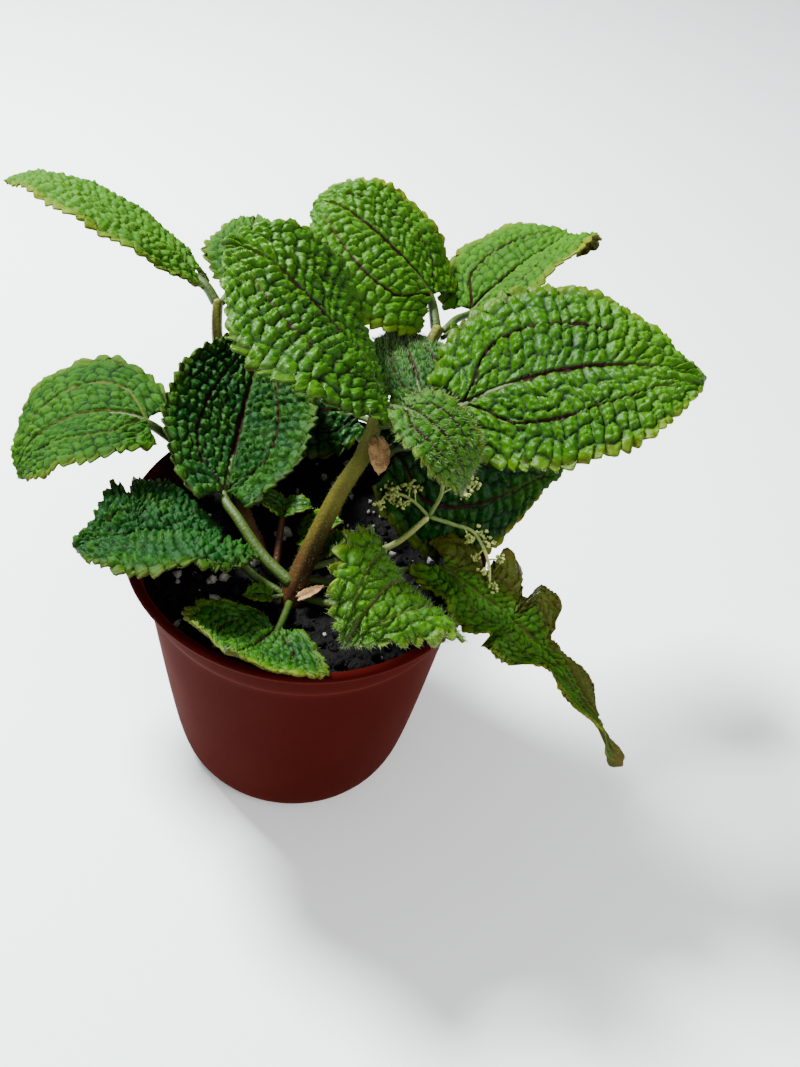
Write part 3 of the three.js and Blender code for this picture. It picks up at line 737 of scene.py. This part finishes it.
class Blade:
    """A leaf's blade on an even grid: s is the share along its midrib, t the share from the midrib to the
    margin, and side is -1 right of the midrib and 1 left of it. Rows of domes run from the midrib to the
    teeth, and the midrib and a vein down the middle of each half are grooves."""

    def __init__(self, leaf, look, seed):
        self.leaf, self.look, self.seed = leaf, look, seed
        step = look.mesh_step / MM * (SHORT_MESH if leaf.length < SHORT_LEAF else 1)
        rows = int(leaf.length / step) + 1
        cols = 2 * int(leaf.width / 2 / step) + 1
        s, v = np.meshgrid(np.linspace(0, 1, rows), np.linspace(-1, 1, cols), indexing="ij")
        self.s, self.t, self.side = s, np.abs(v), np.where(v < 0, -1, 1)
        self.rib, self.half = midrib(leaf), half_width(leaf, s)
        self.skin = blade_point(leaf, self.rib, s, v * (1 - torn_share(leaf, s, self.side)))
        self.along = unit(np.gradient(self.skin, axis=0))
        self.across = unit(np.gradient(self.skin, axis=1))
        self.normal = unit(np.cross(self.along, self.across))
        self.number_rows()
        self.groove_veins()
        self.quilt_domes()

    def number_rows(self):
        """Counts the rows of domes along the midrib in its middle and along the margin at its side, so that
        each row ends in a tooth."""
        t = self.t
        run = np.linalg.norm(np.diff(self.skin[:, -1], axis=0), axis=1)
        self.margin_share = (np.concatenate([[0], np.cumsum(run)]) / run.sum())[:, None]
        pitch = self.look.tooth_pitch / MM * mix(0.6, 1, min(self.leaf.cell / LARGE_CELL, 1))
        teeth = max(5, round(run.sum() / pitch))
        row = teeth * (mix(self.s, self.margin_share, t**2) - 0.2 * t * (1 - 0.6 * t * t))
        self.row = row + 0.14 * np.sin(2.3 * row + self.seed)
        self.phase = np.modf(self.row + ROW_LEAD)[0]

    def groove_veins(self):
        """Finds the veins: 1 on the midrib, nearly 1 on the vein of each half, and 0 off them."""
        s, t, half = self.s, self.t, self.half
        self.lateral = mix(0.06, mix(0.52, 0.36, smoothstep(0.3, 0.9, s)), smoothstep(0, 0.2, s) ** 0.7)
        wide = mix(1.15, 0.6, s) * min(1, self.leaf.length / 50)
        on_midrib = 1 - smoothstep(0.3, 1, t * half / wide)
        on_lateral = 1 - smoothstep(0.3, 1, np.abs(t - self.lateral) * half / (0.7 * wide))
        on_lateral *= 1 - smoothstep(0.7, 0.95, s)
        self.vein = np.maximum(on_midrib, 0.8 * on_lateral)

    def quilt_domes(self):
        """Lays the domes and the small nubs on them. Their columns are counted from the midrib to the vein
        of each half, and again from there to the margin."""
        row, t, seed = self.row, self.t, self.seed
        outer = t > self.lateral
        col = self.half * np.where(outer, t - self.lateral, t) / self.leaf.cell
        col = col + HALF_COLUMNS * (self.side > 0) + OUTER_COLUMNS * outer
        calm = 1 - 0.8 * t
        bent_row = row + 0.16 * calm * np.sin(2.1 * col + seed)
        seam, self.tag = quilt(bent_row, col + 0.2 * np.sin(1.9 * row + seed), seed)
        self.dome = 0.45 * (1 - (1 - np.clip(seam / 0.5, 0, 1)) ** 2) + 0.55 * np.clip(seam, 0, 1) ** 0.7
        nub, _ = quilt(row * NUBS + 0.4, col * NUBS + 0.2, seed + 31)
        self.nub = np.clip(nub / 0.7, 0, 1) ** 0.8

    def height(self):
        """Height over the smooth blade: the domes sit on a ridge along their row, and are lower by the
        midrib, at the margin and where the blade is narrow."""
        leaf, t = self.leaf, self.t
        strength = leaf.rise * mix(0.7, 1.2, self.tag) * np.clip(leaf.cell / 4.0, 0.55, 1.25)
        by_midrib = mix(0.55, 1, smoothstep(0.02, 0.16, t))
        at_margin = 1 - 0.35 * smoothstep(0.85, 1, t)
        strength *= by_midrib * at_margin * np.clip(self.half / 5, 0.2, 1)
        ridge = np.sin(np.pi * self.phase) ** 0.6
        shape = (0.8 * self.dome + 0.2 * ridge * self.dome**0.3) * mix(0.62, 1.15, self.nub) - 0.3
        return mix(strength * (self.look.dome / MM) * shape, -MIDRIB_DEPTH * leaf.rise, self.vein)

    def toothed_skin(self):
        """The smooth blade with each row drawn out at the margin into a tooth that leans towards the tip,
        and with its margin waved."""
        leaf, t, side = self.leaf, self.t, self.side
        lobe = np.sin(np.pi * self.phase**1.5) ** 0.7
        reach = smoothstep(0.72, 1, t) * np.minimum(self.look.tooth / MM * leaf.tooth, 0.4 * self.half)
        reach *= smoothstep(0.0, 0.06, self.s + 0.02)
        uneven = mix(0.55, 1.2, chance(np.floor(self.row + ROW_LEAD), side * 3.0, self.seed + 3))
        skin = (
            self.skin
            + self.across * (side * reach * uneven * (lobe - 0.35))[..., None]
            + self.along * (0.55 * reach * lobe)[..., None]
            - self.normal * (0.1 * reach * lobe)[..., None]
        )
        waves = self.margin_share * leaf.length / WAVE_LENGTH + self.seed * 0.37 + 0.5 * (side > 0)
        swell = leaf.wave * t**3 * np.sin(2 * np.pi * waves)
        swell = swell + 0.5 * leaf.wave * ripple(skin, self.seed, reach=WANDER_LENGTH)
        return skin + self.normal * swell[..., None]

    def paint(self):
        """What the leaf's finish reads at each point."""
        leaf, s, t = self.leaf, self.s, self.t
        rim = leaf.edge * smoothstep(0.84, 1.0, t) * mix(0.35, 1, smoothstep(0.1, 0.8, s))
        tone = leaf.tone + leaf.tip_tone * smoothstep(0.45, 1, s) + 0.25 * (self.tag - 0.5)
        wilt = leaf.fade * (0.35 + 0.8 * smoothstep(0.3, 0.9, s) + 0.5 * smoothstep(0.7, 1, t))
        scorch = leaf.scorch * (self.side > 0) * smoothstep(0.1, 0.55, t)
        return {
            "relief": np.clip(self.dome * mix(0.75, 1.0, self.nub), 0, 1) * (1 - self.vein),
            "vein": self.vein,
            "rim": np.clip(rim, 0, 1),
            "tone": np.clip(tone, 0, 1),
            "gloss": np.full(s.shape, leaf.gloss),
            "rust": leaf.rust * (1 - 0.7 * smoothstep(0.5, 0.95, s)),
            "fade": np.clip(wilt + scorch, 0, 1),
        }

    def add_to(self, shell):
        """Adds the blade as a thin sheet whose underside is a little flatter than its top."""
        skin, height = self.toothed_skin(), self.height()
        self.top = skin + self.normal * height[..., None]
        under = skin + self.normal * (0.75 * height - self.look.thickness / MM)[..., None]
        sheet_shell(shell, self.top, under, self.paint())


def leaf_stalk(shell, leaf, rib):
    """The leaf's stalk: a tapering rod through its bends and on under the first quarter of the midrib."""
    thick, thin = leaf.stalk_radius
    below = rib["place"] - (0.6 * MIDRIB_DEPTH * leaf.rise + 0.75 * thin) * rib["normal"]
    knots = [*leaf.stalk, *(below[round(share * MIDRIB_STEPS)] for share in (0, 0.12, 0.25))]

    def radius(share):
        return mix(thick, thin, share) * mix(1, 0.7, smoothstep(0.8, 1, share))

    rod(shell, knots, radius, step=1.0, ridge=0.04, finish=STALK, run=lambda share: share)


def leaf_hairs(shell, blade):
    """Hairs stand on the blade, more of them towards the margin, and lean towards the tip."""
    leaf, look = blade.leaf, blade.look
    draw = np.random.default_rng(blade.seed + 100)
    number = int(look.hair_density * leaf.fuzz * leaf.length * leaf.width * 0.75)
    weight = (1 + 3 * smoothstep(0.85, 1, blade.t)).ravel()
    pick = draw.choice(weight.size, number, p=weight / weight.sum())
    outward = blade.across * blade.side[..., None]
    grids = (blade.top, blade.normal, blade.along, outward)
    root, normal, along, outward = (grid.reshape(-1, 3)[pick] for grid in grids)
    edge = smoothstep(0.8, 1, blade.t).ravel()[pick, None]
    way = normal + 0.5 * along + 1.2 * edge * outward + 0.4 * draw.normal(size=(number, 3))
    length = look.hair / MM * draw.uniform(0.55, 1.15, number)
    length *= SHORT_HAIR if leaf.length < SHORT_LEAF else 1
    length *= SHAGGY_HAIR if leaf.fuzz > SHAGGY else 1
    hairs(shell, root, way, length, FINE_HAIR if leaf.fuzz < STOUT_FROM else STOUT_HAIR, HAIR)


def grow_leaf(shell, leaf, look, seed):
    """A leaf's blade, stalk and hairs."""
    blade = Blade(leaf, look, seed)
    blade.add_to(shell)
    leaf_stalk(shell, leaf, blade.rib)
    leaf_hairs(shell, blade)


# ---------------------------------------------------------------- stems, flowers, scales
STEMS = {
    "stem_main": (
        [
            [-1, -22, 84], [-1, -21, 97], [3, -12, 112], [9, -3, 130], [16, 4, 146], [17, 5, 157],
            [20, 4, 163],
        ],
        lambda share: 3.9 - 1.9 * share + 0.7 * np.exp(-(((share - 0.79) / 0.035) ** 2)),
    ),
    "stem_back_left": (
        [
            [-13, -7, 84], [-14, -5, 96], [-21, 4, 102], [-30, 20, 108], [-40, 46, 122], [-46, 62, 136],
            [-47, 68, 144],
        ],
        taper(2.6, 1.8),
    ),
    "stem_back_right": (
        [[3, -7, 84], [4, -3, 98], [8, 12, 115], [15, 25, 126], [24, 42, 143], [31, 55, 158]],
        taper(2.8, 2.0),
    ),
}
STEM_HAIRS = 900
FORK = [38, -3, 127]
FLOWER_STALK = ([[2, -15, 106], [12, -11, 108], [28, -5, 113], FORK], 1.15, 0.95)
TWIGS = [
    ([FORK, [40.5, 0, 134], [41, 2, 139], [45, 2, 139.5], [49.5, 1.5, 137.5]], 0.75, 0.45),
    ([FORK, [46, -2.5, 125], [53, -2.5, 123], [59, -9, 118], [60.5, -15, 115]], 0.75, 0.45),
    ([FORK, [33, -2, 131], [28, -1.5, 133], [23.5, -3, 133]], 0.65, 0.4),
    ([[23, -6.6, 111.6], [21.5, -7.5, 113.5], [19, -9, 115.5]], 0.5, 0.4),
]
BRANCHLETS = 7
SPIRAL = 2.4  # radians from a branchlet to the next one round the twig
BRANCHLET_RADIUS = 0.26
BUDS = 12
SCALES = [
    Leaf(
        "scale_upper_node", (18.6, 2.0, 150.6), 11, 6.5, -72, -35, 20, (), curl=60, fold=25, cell=3,
        rise=0.15, tooth=0.15, rust=0.3, fade=1.0, wave=0.5,
    ),
    Leaf(
        "scale_crown", (2, -24.6, 102.5), 9, 4, 38, 5, -10, (), fold=20, cell=3, rise=0.15, tooth=0.15,
        rust=0.2, fade=1.0, wave=0.4,
    ),
]


# ---------------------------------------------------------------- finishes of this plant
def leaf_finish():
    """Green quilted skin: grooves darkened with painted shade, lighter domes, a yellow-green margin,
    red-brown or pale veins, a paler underside, and brown where it has faded. Small bumps give each dome its
    facets."""
    look = settings("leaf")
    finish = Finish("quilted_leaf")
    relief, vein, rim, tone, rust, gloss, fade, under = (
        finish.painted(key) for key in ("relief", "vein", "rim", "tone", "rust", "gloss", "fade", "under")
    )
    patch = finish.noise(0.012, detail=3)
    speck = finish.noise(0.0009, detail=2)
    dome = finish.blend(tone + (patch - 0.5) * 0.8, look.deep, look.bright)
    # The seams between the domes take the dark groove green as painted shade in the creases; on light leaves
    # it is lighter.
    seam = finish.blend((tone - 0.65) * 1.3, look.groove_shade, linear(44, 80, 14))
    body = finish.blend(finish.span(relief + (speck - 0.5) * 0.3, 0.0, 0.55), seam, dome)
    body = finish.blend(rim * 0.85, body, look.margin)
    main_vein = finish.blend(rust, look.pale_vein, look.vein)
    body = finish.blend(finish.span(vein, 0.1, 0.6) * 0.95, body, main_vein)
    dry = finish.blend(patch, look.faded, linear(40, 30, 12))
    body = finish.blend(fade * finish.span(patch + fade * 0.5, 0.35, 0.75), body, dry)
    below = finish.blend(finish.span(relief, 0.1, 0.7), look.underside, linear(48, 52, 18))
    below = finish.blend(fade * 0.7, below, dry)
    colour = finish.blend(under, body, below)
    roughness = 0.88 - finish.span(relief, 0.0, 0.5) * gloss * 0.56 + (speck - 0.5) * 0.15 + under * 0.2
    facets = finish.cells(0.0019, "SMOOTH_F1") * -0.9 + finish.noise(0.0004, detail=2) * 0.35
    return finish.dress(colour, roughness, facets, 0.00045, Specular_IOR_Level=0.11)


def stalk_finish(name, foot, upper):
    """Fleshy skin with fine streaks and pores, its colour running from the foot to the upper end."""
    finish = Finish(name)
    run = finish.painted("run")
    patch = finish.noise(0.006, detail=3)
    speck = finish.noise(0.0008, detail=3)
    colour = finish.blend(finish.span(run + (patch - 0.5) * 0.35, 0.1, 0.85), foot, upper)
    colour = finish.blend(finish.span(speck, 0.5, 0.75) * 0.35, colour, linear(36, 30, 12))
    roughness = 0.42 + speck * 0.2
    return finish.dress(colour, roughness, speck + patch * 0.5, 0.0003, Specular_IOR_Level=0.25)


def hair_finish():
    """Pale, nearly colourless hairs."""
    finish = Finish("plant_hair")
    speck = finish.noise(0.01)
    colour = finish.blend(speck, linear(116, 134, 92), linear(84, 108, 68))
    return finish.dress(colour, 0.5 + speck * 0.1, speck, 0.00001, Specular_IOR_Level=0.2)


def leaf_skins(stalk_name, stalk_colour):
    """The finishes of a leaf, in the order of their numbers: blade, stalk and hairs."""
    held = bpy.data.materials
    return [
        held.get("quilted_leaf") or leaf_finish(),
        stalk_finish(stalk_name, stalk_colour, stalk_colour),
        held.get("plant_hair") or hair_finish(),
    ]


def plain_finish(name, light, dark, size, rough, depth):
    """A mottled finish between two colours, with a bump of the same grain."""
    finish = Finish(name)
    patch = finish.noise(size, detail=4)
    grain = finish.noise(size / 8, detail=3)
    colour = finish.blend(finish.span(patch + (grain - 0.5) * 0.5, 0.35, 0.65), light, dark)
    return finish.dress(colour, rough + (grain - 0.5) * 0.2, grain + patch, depth, Specular_IOR_Level=0.25)


def plastic_finish():
    """Satin moulded plastic: faint flow mottling, fine grain, small scuffs and a dusting of soil."""
    look = settings("pot")
    finish = Finish("pot_plastic")
    flow = finish.noise(0.03, detail=3)
    grain = finish.noise(0.0006, detail=2)
    scuff = finish.span(finish.noise(0.006, detail=5, rough=0.7, warp=1.5), 0.62, 0.75)
    colour = finish.blend((flow - 0.35) * 0.8, look.plastic, linear(38, 10, 9))
    colour = finish.blend(scuff * 0.25, colour, linear(58, 24, 20))
    dust = finish.span(finish.noise(0.0016, detail=2), 0.72, 0.8)
    colour = finish.blend(dust * 0.5, colour, linear(30, 20, 14))
    roughness = 0.56 + flow * 0.12 + scuff * 0.15
    return finish.dress(
        colour, roughness, grain * 0.4 + scuff * 0.3, 0.00012, Specular_IOR_Level=0.006, Sheen_Weight=0.08,
        Sheen_Roughness=0.45, Sheen_Tint=(*linear(226, 104, 84), 1),
    )


def peat_finish():
    """Dark moist peat in clods, with paler fibres."""
    look = settings("mix")
    finish = Finish("peat")
    clod = finish.noise(0.004, detail=5, rough=0.65)
    fibre = finish.noise(0.0007, detail=3)
    colour = finish.blend(finish.span(clod, 0.35, 0.7), linear(5, 4, 4), look.peat)
    colour = finish.blend(finish.span(fibre, 0.66, 0.78) * 0.35, colour, linear(40, 32, 24))
    return finish.dress(colour, 0.75 + (fibre - 0.5) * 0.5, clod + fibre * 0.4, 0.0012, Specular_IOR_Level=0.1)


# ---------------------------------------------------------------- operators
class PLANT_OT_pot(bpy.types.Operator):
    """Turns the nursery pot from its profile and drills the drain holes"""

    bl_idname = "plant.pot"
    bl_label = "Pot"
    SIDES = 144
    PROFILE_STEPS = 150
    FLOOR = 1.8
    DRAINS, DRAIN_RING, DRAIN_RADIUS = 8, 30, 3.2

    def profile(self, look):
        """Radii and heights from the foot up the outside, over the rolled lip and down to the floor."""
        top, rim, foot = look.height / MM, look.rim_radius / MM, look.base_radius / MM
        return np.array(
            [
                (foot - 4, 0), (foot - 1.6, 0.3), (foot, 1.6), (foot + 2.6, 6), (53.4, 89.6), (53.9, 91.4),
                (55.2, 93.6), (55.7, 95.0), (57.5, 104.6), (57.9, 105.4), (58.7, 105.2), (59.6, 105.6),
                (rim - 0.1, 106.2), (rim - 0.35, 106.7), (rim - 0.15, 107.1), (rim - 0.35, 107.8),
                (rim - 1.0, top), (rim - 1.9, top), (rim - 2.7, 107.7), (56.4, 106.4), (55.9, 104.6),
                (54.2, 95.2), (53.6, 93.4), (52.0, 91.4), (foot + 1.0, 6.5), (foot - 1, 2.6),
                (foot - 4, self.FLOOR),
            ]
        )

    def execute(self, context):
        profile = self.profile(settings("pot"))
        path, _ = smooth_path(np.c_[profile, np.zeros(len(profile))], self.PROFILE_STEPS)
        wall = turned(path[:, :1], full_turn(self.SIDES), path[:, 1:2])
        shell = Shell()
        poles = [[0, 0, 0], [0, 0, self.FLOOR]]
        shell.add(np.concatenate([wall.reshape(-1, 3), poles]), capped_tube(len(path), self.SIDES))
        self.drill(shell.build("nursery_pot", [plastic_finish()], ["pot"]))
        return {"FINISHED"}

    def drill(self, piece):
        """Cuts the round drain holes through the floor with one boolean of eight rods."""
        drills = Shell()
        for i in range(self.DRAINS):
            turn = 2 * np.pi * (i + 0.5) / self.DRAINS
            x, y = self.DRAIN_RING * np.cos(turn), self.DRAIN_RING * np.sin(turn)
            path = [[x, y, -4], [x, y, 0], [x, y, 3], [x, y, 6]]
            rod(drills, path, taper(self.DRAIN_RADIUS, self.DRAIN_RADIUS), sides=24)
        cutter = drills.build("drills", [])
        cut = piece.modifiers.new("drains", "BOOLEAN")
        cut.operation, cut.solver, cut.object = "DIFFERENCE", "EXACT", cutter
        done = bpy.data.meshes.new_from_object(piece.evaluated_get(bpy.context.evaluated_depsgraph_get()))
        piece.modifiers.clear()
        piece.data = done
        bpy.data.objects.remove(cutter)


class PLANT_OT_potting_mix(bpy.types.Operator):
    """Fills the pot with peat and strews crumbs and pale mineral grains over it"""

    bl_idname = "plant.potting_mix"
    bl_label = "Potting mix"
    RINGS = 120
    SIDES = 220
    INNER_RING, OUTER_RING = 0.4, 53.4
    WALL = [(36, 2.2), (42, 7), (51.4, 90.5), (52.6, 93.4)]

    def surface(self, x, y):
        """Height of the soil: three sizes of lumps, a little lower at the wall."""
        level = settings("mix").level / MM
        flat = np.stack([x, y, 0 * x], -1)
        lumps = ripple(flat, 1, reach=30) * 0.8 + ripple(flat, 2, 9, 7) * 0.5 + ripple(flat, 3, 12, 2.6) * 0.3
        return level + lumps - 1.2 * smoothstep(44, 54, np.hypot(x, y))

    def strew(self, shell, draw, number, reach, spread, limits, lift, seed):
        """Grains at random places within reach of the axis. Their sizes are a gamma draw held within limits,
        and each is lifted by a share of its size."""
        away = reach * np.sqrt(draw.random(number))
        turn = 2 * np.pi * draw.random(number)
        x, y = away * np.cos(turn), away * np.sin(turn)
        size = draw.gamma(*spread, number).clip(*limits)
        pebbles(shell, np.stack([x, y, self.surface(x, y) + lift * size], -1), size, seed)

    def execute(self, context):
        look = settings("mix")
        draw = np.random.default_rng(4)
        turn = full_turn(self.SIDES)
        reach = np.linspace(self.INNER_RING, self.OUTER_RING, self.RINGS)[::-1, None]
        top = turned(reach, turn, self.surface(reach * np.cos(turn), reach * np.sin(turn)))
        rings = np.concatenate([[turned(radius, turn, height) for radius, height in self.WALL], top])
        poles = [[0, 0, self.WALL[0][1]], [0, 0, self.surface(np.zeros(1), np.zeros(1))[0]]]
        shell = Shell()
        shell.add(np.concatenate([rings.reshape(-1, 3), poles]), capped_tube(len(rings), self.SIDES))
        self.strew(shell, draw, look.crumbs, 52.5, (2.0, 0.38), (0.3, 2.4), lift=0.3, seed=5)
        shell.build("peat_filling", [peat_finish()], ["potting_mix"])
        grains = Shell()
        self.strew(grains, draw, look.grains, 52, (3.0, 0.3), (0.35, 1.9), lift=0.45, seed=6)
        pale = plain_finish("mineral_grain", look.grain, linear(92, 90, 84), 0.002, 0.7, 0.0002)
        grains.build("mineral_grains", [pale])
        return {"FINISHED"}


class PLANT_OT_stems(bpy.types.Operator):
    """Grows the three stems with their fine hairs"""

    bl_idname = "plant.stems"
    bl_label = "Stems"

    def execute(self, context):
        look = settings("stem")
        skins = [stalk_finish("stem_skin", look.foot, look.upper), hair_finish()]
        for seed, (name, (knots, radius)) in enumerate(STEMS.items(), 50):
            shell = Shell()
            path, _, side, lift = rod(
                shell, knots, radius, sides=24, step=0.8, ridge=0.03, run=lambda share: share
            )
            draw = np.random.default_rng(seed)
            at = draw.integers(len(path) // 6, len(path) - 2, STEM_HAIRS)
            turn = draw.uniform(0, 2 * np.pi, STEM_HAIRS)[:, None]
            way = np.cos(turn) * side[at] + np.sin(turn) * lift[at]
            root = path[at] + way * radius(at / len(path))[:, None]
            lean = way + 0.4 * draw.normal(size=(STEM_HAIRS, 3))
            hairs(shell, root, lean, draw.uniform(0.5, 1.1, STEM_HAIRS), FINE_HAIR, finish=1)
            shell.build(name + "_skin", skins, [name])
        return {"FINISHED"}


class PLANT_OT_leaves(bpy.types.Operator):
    """Grows the sixteen leaves and the four young ones, each with its stalk and hairs"""

    bl_idname = "plant.leaves"
    bl_label = "Leaves"

    def execute(self, context):
        skins = leaf_skins("leaf_stalk_skin", settings("stem").petiole)
        for seed, leaf in enumerate([*LEAVES, *YOUNG_LEAVES]):
            shell = Shell()
            grow_leaf(shell, leaf, settings("leaf"), seed)
            shell.build(leaf.name + "_blade", skins, [leaf.name])
        return {"FINISHED"}


class PLANT_OT_sprout(bpy.types.Operator):
    """Grows the brown sprout with its two curled leaflets"""

    bl_idname = "plant.sprout"
    bl_label = "Sprout"

    def execute(self, context):
        skins = leaf_skins("sprout_skin", settings("stem").foot)
        shell = Shell()
        rod(shell, SPROUT_PATH, taper(1.7, 1.0), sides=14, finish=STALK, run=lambda share: share)
        for seed, leaf in enumerate(SPROUT_LEAFLETS, 60):
            grow_leaf(shell, leaf, settings("leaf"), seed)
        shell.build("sprout_with_leaflets", skins, ["sprout_left"])
        return {"FINISHED"}


class PLANT_OT_flowers(bpy.types.Operator):
    """Grows the forked flower stalk with its clusters of buds"""

    bl_idname = "plant.flowers"
    bl_label = "Flower stalk"

    def twig(self, shell, knots, thick, thin):
        """A slender rod that pales towards the buds."""
        return rod(shell, knots, taper(thick, thin), sides=10, ridge=0.05, run=lambda share: 0.6 * share)

    def cluster(self, shell, draw, look, root, way, at):
        """A branchlet, shorter towards the twig's tip, and a loose ball of buds round its end."""
        end = root + way * mix(5.4, 2.6, at)
        knots = [root, mix(root, end, 0.5) + [0, 0, 0.3], end]
        rod(shell, knots, taper(BRANCHLET_RADIUS, BRANCHLET_RADIUS), sides=6, finish=1)
        spread = unit(draw.normal(size=(BUDS, 3)) + 0.6 * way)
        places = end + spread * draw.uniform(0.4, 2.5, (BUDS, 1))
        size = look.bud_radius / MM * draw.uniform(0.6, 1.1, BUDS)
        pebbles(shell, places, size, int(draw.integers(1000)), finish=1)

    def execute(self, context):
        look = settings("flower")
        twig_skin = stalk_finish("twig_skin", look.twig, look.bud)
        bud_skin = plain_finish("bud_skin", look.bud, linear(92, 104, 34), 0.001, 0.5, 0.0001)
        draw = np.random.default_rng(21)
        shell = Shell()
        self.twig(shell, *FLOWER_STALK)
        for plan in TWIGS:
            path, ahead, side, lift = self.twig(shell, *plan)
            for k, at in enumerate(np.linspace(0.4, 1, BRANCHLETS)):
                i = int(at * (len(path) - 1))
                turn = SPIRAL * k + draw.uniform(0, 1)
                way = unit(np.cos(turn) * side[i] + np.sin(turn) * lift[i] + 0.5 * ahead[i] + [0, 0, 0.4])
                self.cluster(shell, draw, look, path[i], way, at)
        shell.build("flower_stalk_with_buds", [twig_skin, bud_skin], ["flower_stalk"])
        return {"FINISHED"}


class PLANT_OT_scales(bpy.types.Operator):
    """Adds the dry papery scales at the upper node and at the crown"""

    bl_idname = "plant.scales"
    bl_label = "Papery scales"

    def execute(self, context):
        papery = settings("stem").papery
        skin = plain_finish("papery_scale", papery, linear(104, 76, 44), 0.003, 0.6, 0.0003)
        for seed, leaf in enumerate(SCALES, 80):
            shell = Shell()
            Blade(leaf, settings("leaf"), seed).add_to(shell)
            shell.build(leaf.name + "_flake", [skin], [leaf.name])
        return {"FINISHED"}


class PLANT_OT_stage(bpy.types.Operator):
    """Sets the pale floor, the soft lights and the camera"""

    bl_idname = "plant.stage"
    bl_label = "Stage"
    FLOOR_ALONG, FLOOR_ROWS = (-2500, 4500), 60
    FLOOR_ACROSS, FLOOR_COLS = (-3500, 3500), 12
    FLOOR_DROP = 0.3
    BACKDROP_FROM, BACKDROP_HEIGHT = 1500, 1800
    SKY = (0.92, 0.97, 1.0, 1)
    AIM = (0, 0, 0.12)
    FILL_SHARE = 0.15
    CAMERA = (30, -236, 361)
    ELEVATION = 46.3
    ROLL = 10.1
    FOCAL_PIXELS = 1050
    FRAME_HEIGHT = 1067
    SENSOR = 36.0

    def execute(self, context):
        look = settings("stage")
        self.floor(look)
        self.lights(look)
        self.camera(context)
        return {"FINISHED"}

    def floor(self, look):
        """A wide floor that curves up into a backdrop far behind."""
        along = np.linspace(*self.FLOOR_ALONG, self.FLOOR_ROWS)
        across = np.linspace(*self.FLOOR_ACROSS, self.FLOOR_COLS)
        curve = smoothstep(self.BACKDROP_FROM, self.FLOOR_ALONG[1], along) ** 2
        rise = self.BACKDROP_HEIGHT * curve - self.FLOOR_DROP
        points = np.stack(np.broadcast_arrays(across[None], along[:, None], rise[:, None]), -1) * MM
        quads = grid_faces(self.FLOOR_ROWS, self.FLOOR_COLS)[:, ::-1]
        mesh = bpy.data.meshes.new("floor")
        mesh.from_pydata(points.reshape(-1, 3).tolist(), [], quads.tolist())
        mesh.shade_smooth()
        finish = Finish("pale_floor")
        tone = finish.noise(0.4)
        colour = finish.blend(tone, look.floor, [0.97 * channel for channel in look.floor])
        mesh.materials.append(finish.dress(colour, 0.8 + tone * 0.05, tone, 0.0001))
        add_object("floor", mesh)

    def lights(self, look):
        """An even pale sky, a large soft key from above on the left, and a fill from the right."""
        world = bpy.data.worlds.new("pale_sky")
        world.use_nodes = True
        sky = world.node_tree.nodes["Background"]
        sky.inputs["Color"].default_value = self.SKY
        sky.inputs["Strength"].default_value = look.sky
        bpy.context.scene.world = world
        plans = [
            ("key", (-0.5, 0.3, 0.85), 0.22, look.key, (0.95, 0.99, 1.0)),
            ("fill", (0.5, -0.5, 0.7), 0.6, look.key * self.FILL_SHARE, (1.0, 0.98, 0.95)),
        ]
        for name, place, size, power, colour in plans:
            light = bpy.data.lights.new(name, "AREA")
            light.shape, light.size, light.energy, light.color = "DISK", size, power, colour
            turn = Vector(np.array(self.AIM) - place).to_track_quat("-Z", "Y").to_matrix().to_4x4()
            add_object(name, light).matrix_world = Matrix.Translation(place) @ turn

    def camera(self, context):
        """Looks down at the plant, turned a little about its own axis."""
        e, r = np.radians([self.ELEVATION, self.ROLL])
        ahead = np.array([0, np.cos(e), -np.sin(e)])
        right, up = np.array([1, 0, 0]), np.array([0, np.sin(e), np.cos(e)])
        across = np.cos(r) * right + np.sin(r) * up
        upward = -np.sin(r) * right + np.cos(r) * up
        matrix = Matrix.Identity(4)
        for k in range(3):
            matrix[k] = (across[k], upward[k], -ahead[k], self.CAMERA[k] * MM)
        camera = bpy.data.cameras.new("camera")
        camera.sensor_fit = "VERTICAL"
        camera.sensor_height = self.SENSOR
        camera.lens = self.SENSOR * self.FOCAL_PIXELS / self.FRAME_HEIGHT
        camera.clip_start = 0.02
        piece = add_object("camera", camera)
        piece.matrix_world = matrix
        context.scene.camera = piece


OPERATORS = [
    PLANT_OT_pot,
    PLANT_OT_potting_mix,
    PLANT_OT_stems,
    PLANT_OT_leaves,
    PLANT_OT_sprout,
    PLANT_OT_flowers,
    PLANT_OT_scales,
    PLANT_OT_stage,
]
GROUPS = {
    "pot": PotSettings,
    "mix": MixSettings,
    "leaf": LeafSettings,
    "stem": StemSettings,
    "flower": FlowerSettings,
    "stage": StageSettings,
}


class PLANT_PT_panel(bpy.types.Panel):
    """Lists the steps that grow the plant"""

    bl_label = "Friendship Plant"
    bl_idname = "PLANT_PT_panel"
    bl_space_type = "VIEW_3D"
    bl_region_type = "UI"
    bl_category = "Plant"

    def draw(self, context):
        for operator in OPERATORS:
            self.layout.operator(operator.bl_idname)


CLASSES = [*GROUPS.values(), *OPERATORS, PLANT_PT_panel]


def register():
    for entry in CLASSES:
        bpy.utils.register_class(entry)
    for name, group in GROUPS.items():
        setattr(bpy.types.Scene, "plant_" + name, PointerProperty(type=group))


def unregister():
    for name in GROUPS:
        delattr(bpy.types.Scene, "plant_" + name)
    for entry in reversed(CLASSES):
        bpy.utils.unregister_class(entry)


def main():
    register()
    bpy.ops.plant.pot()
    bpy.ops.plant.potting_mix()
    bpy.ops.plant.stems()
    bpy.ops.plant.leaves()
    bpy.ops.plant.sprout()
    bpy.ops.plant.flowers()
    bpy.ops.plant.scales()
    bpy.ops.plant.stage()


if __name__ == "__main__":
    main()
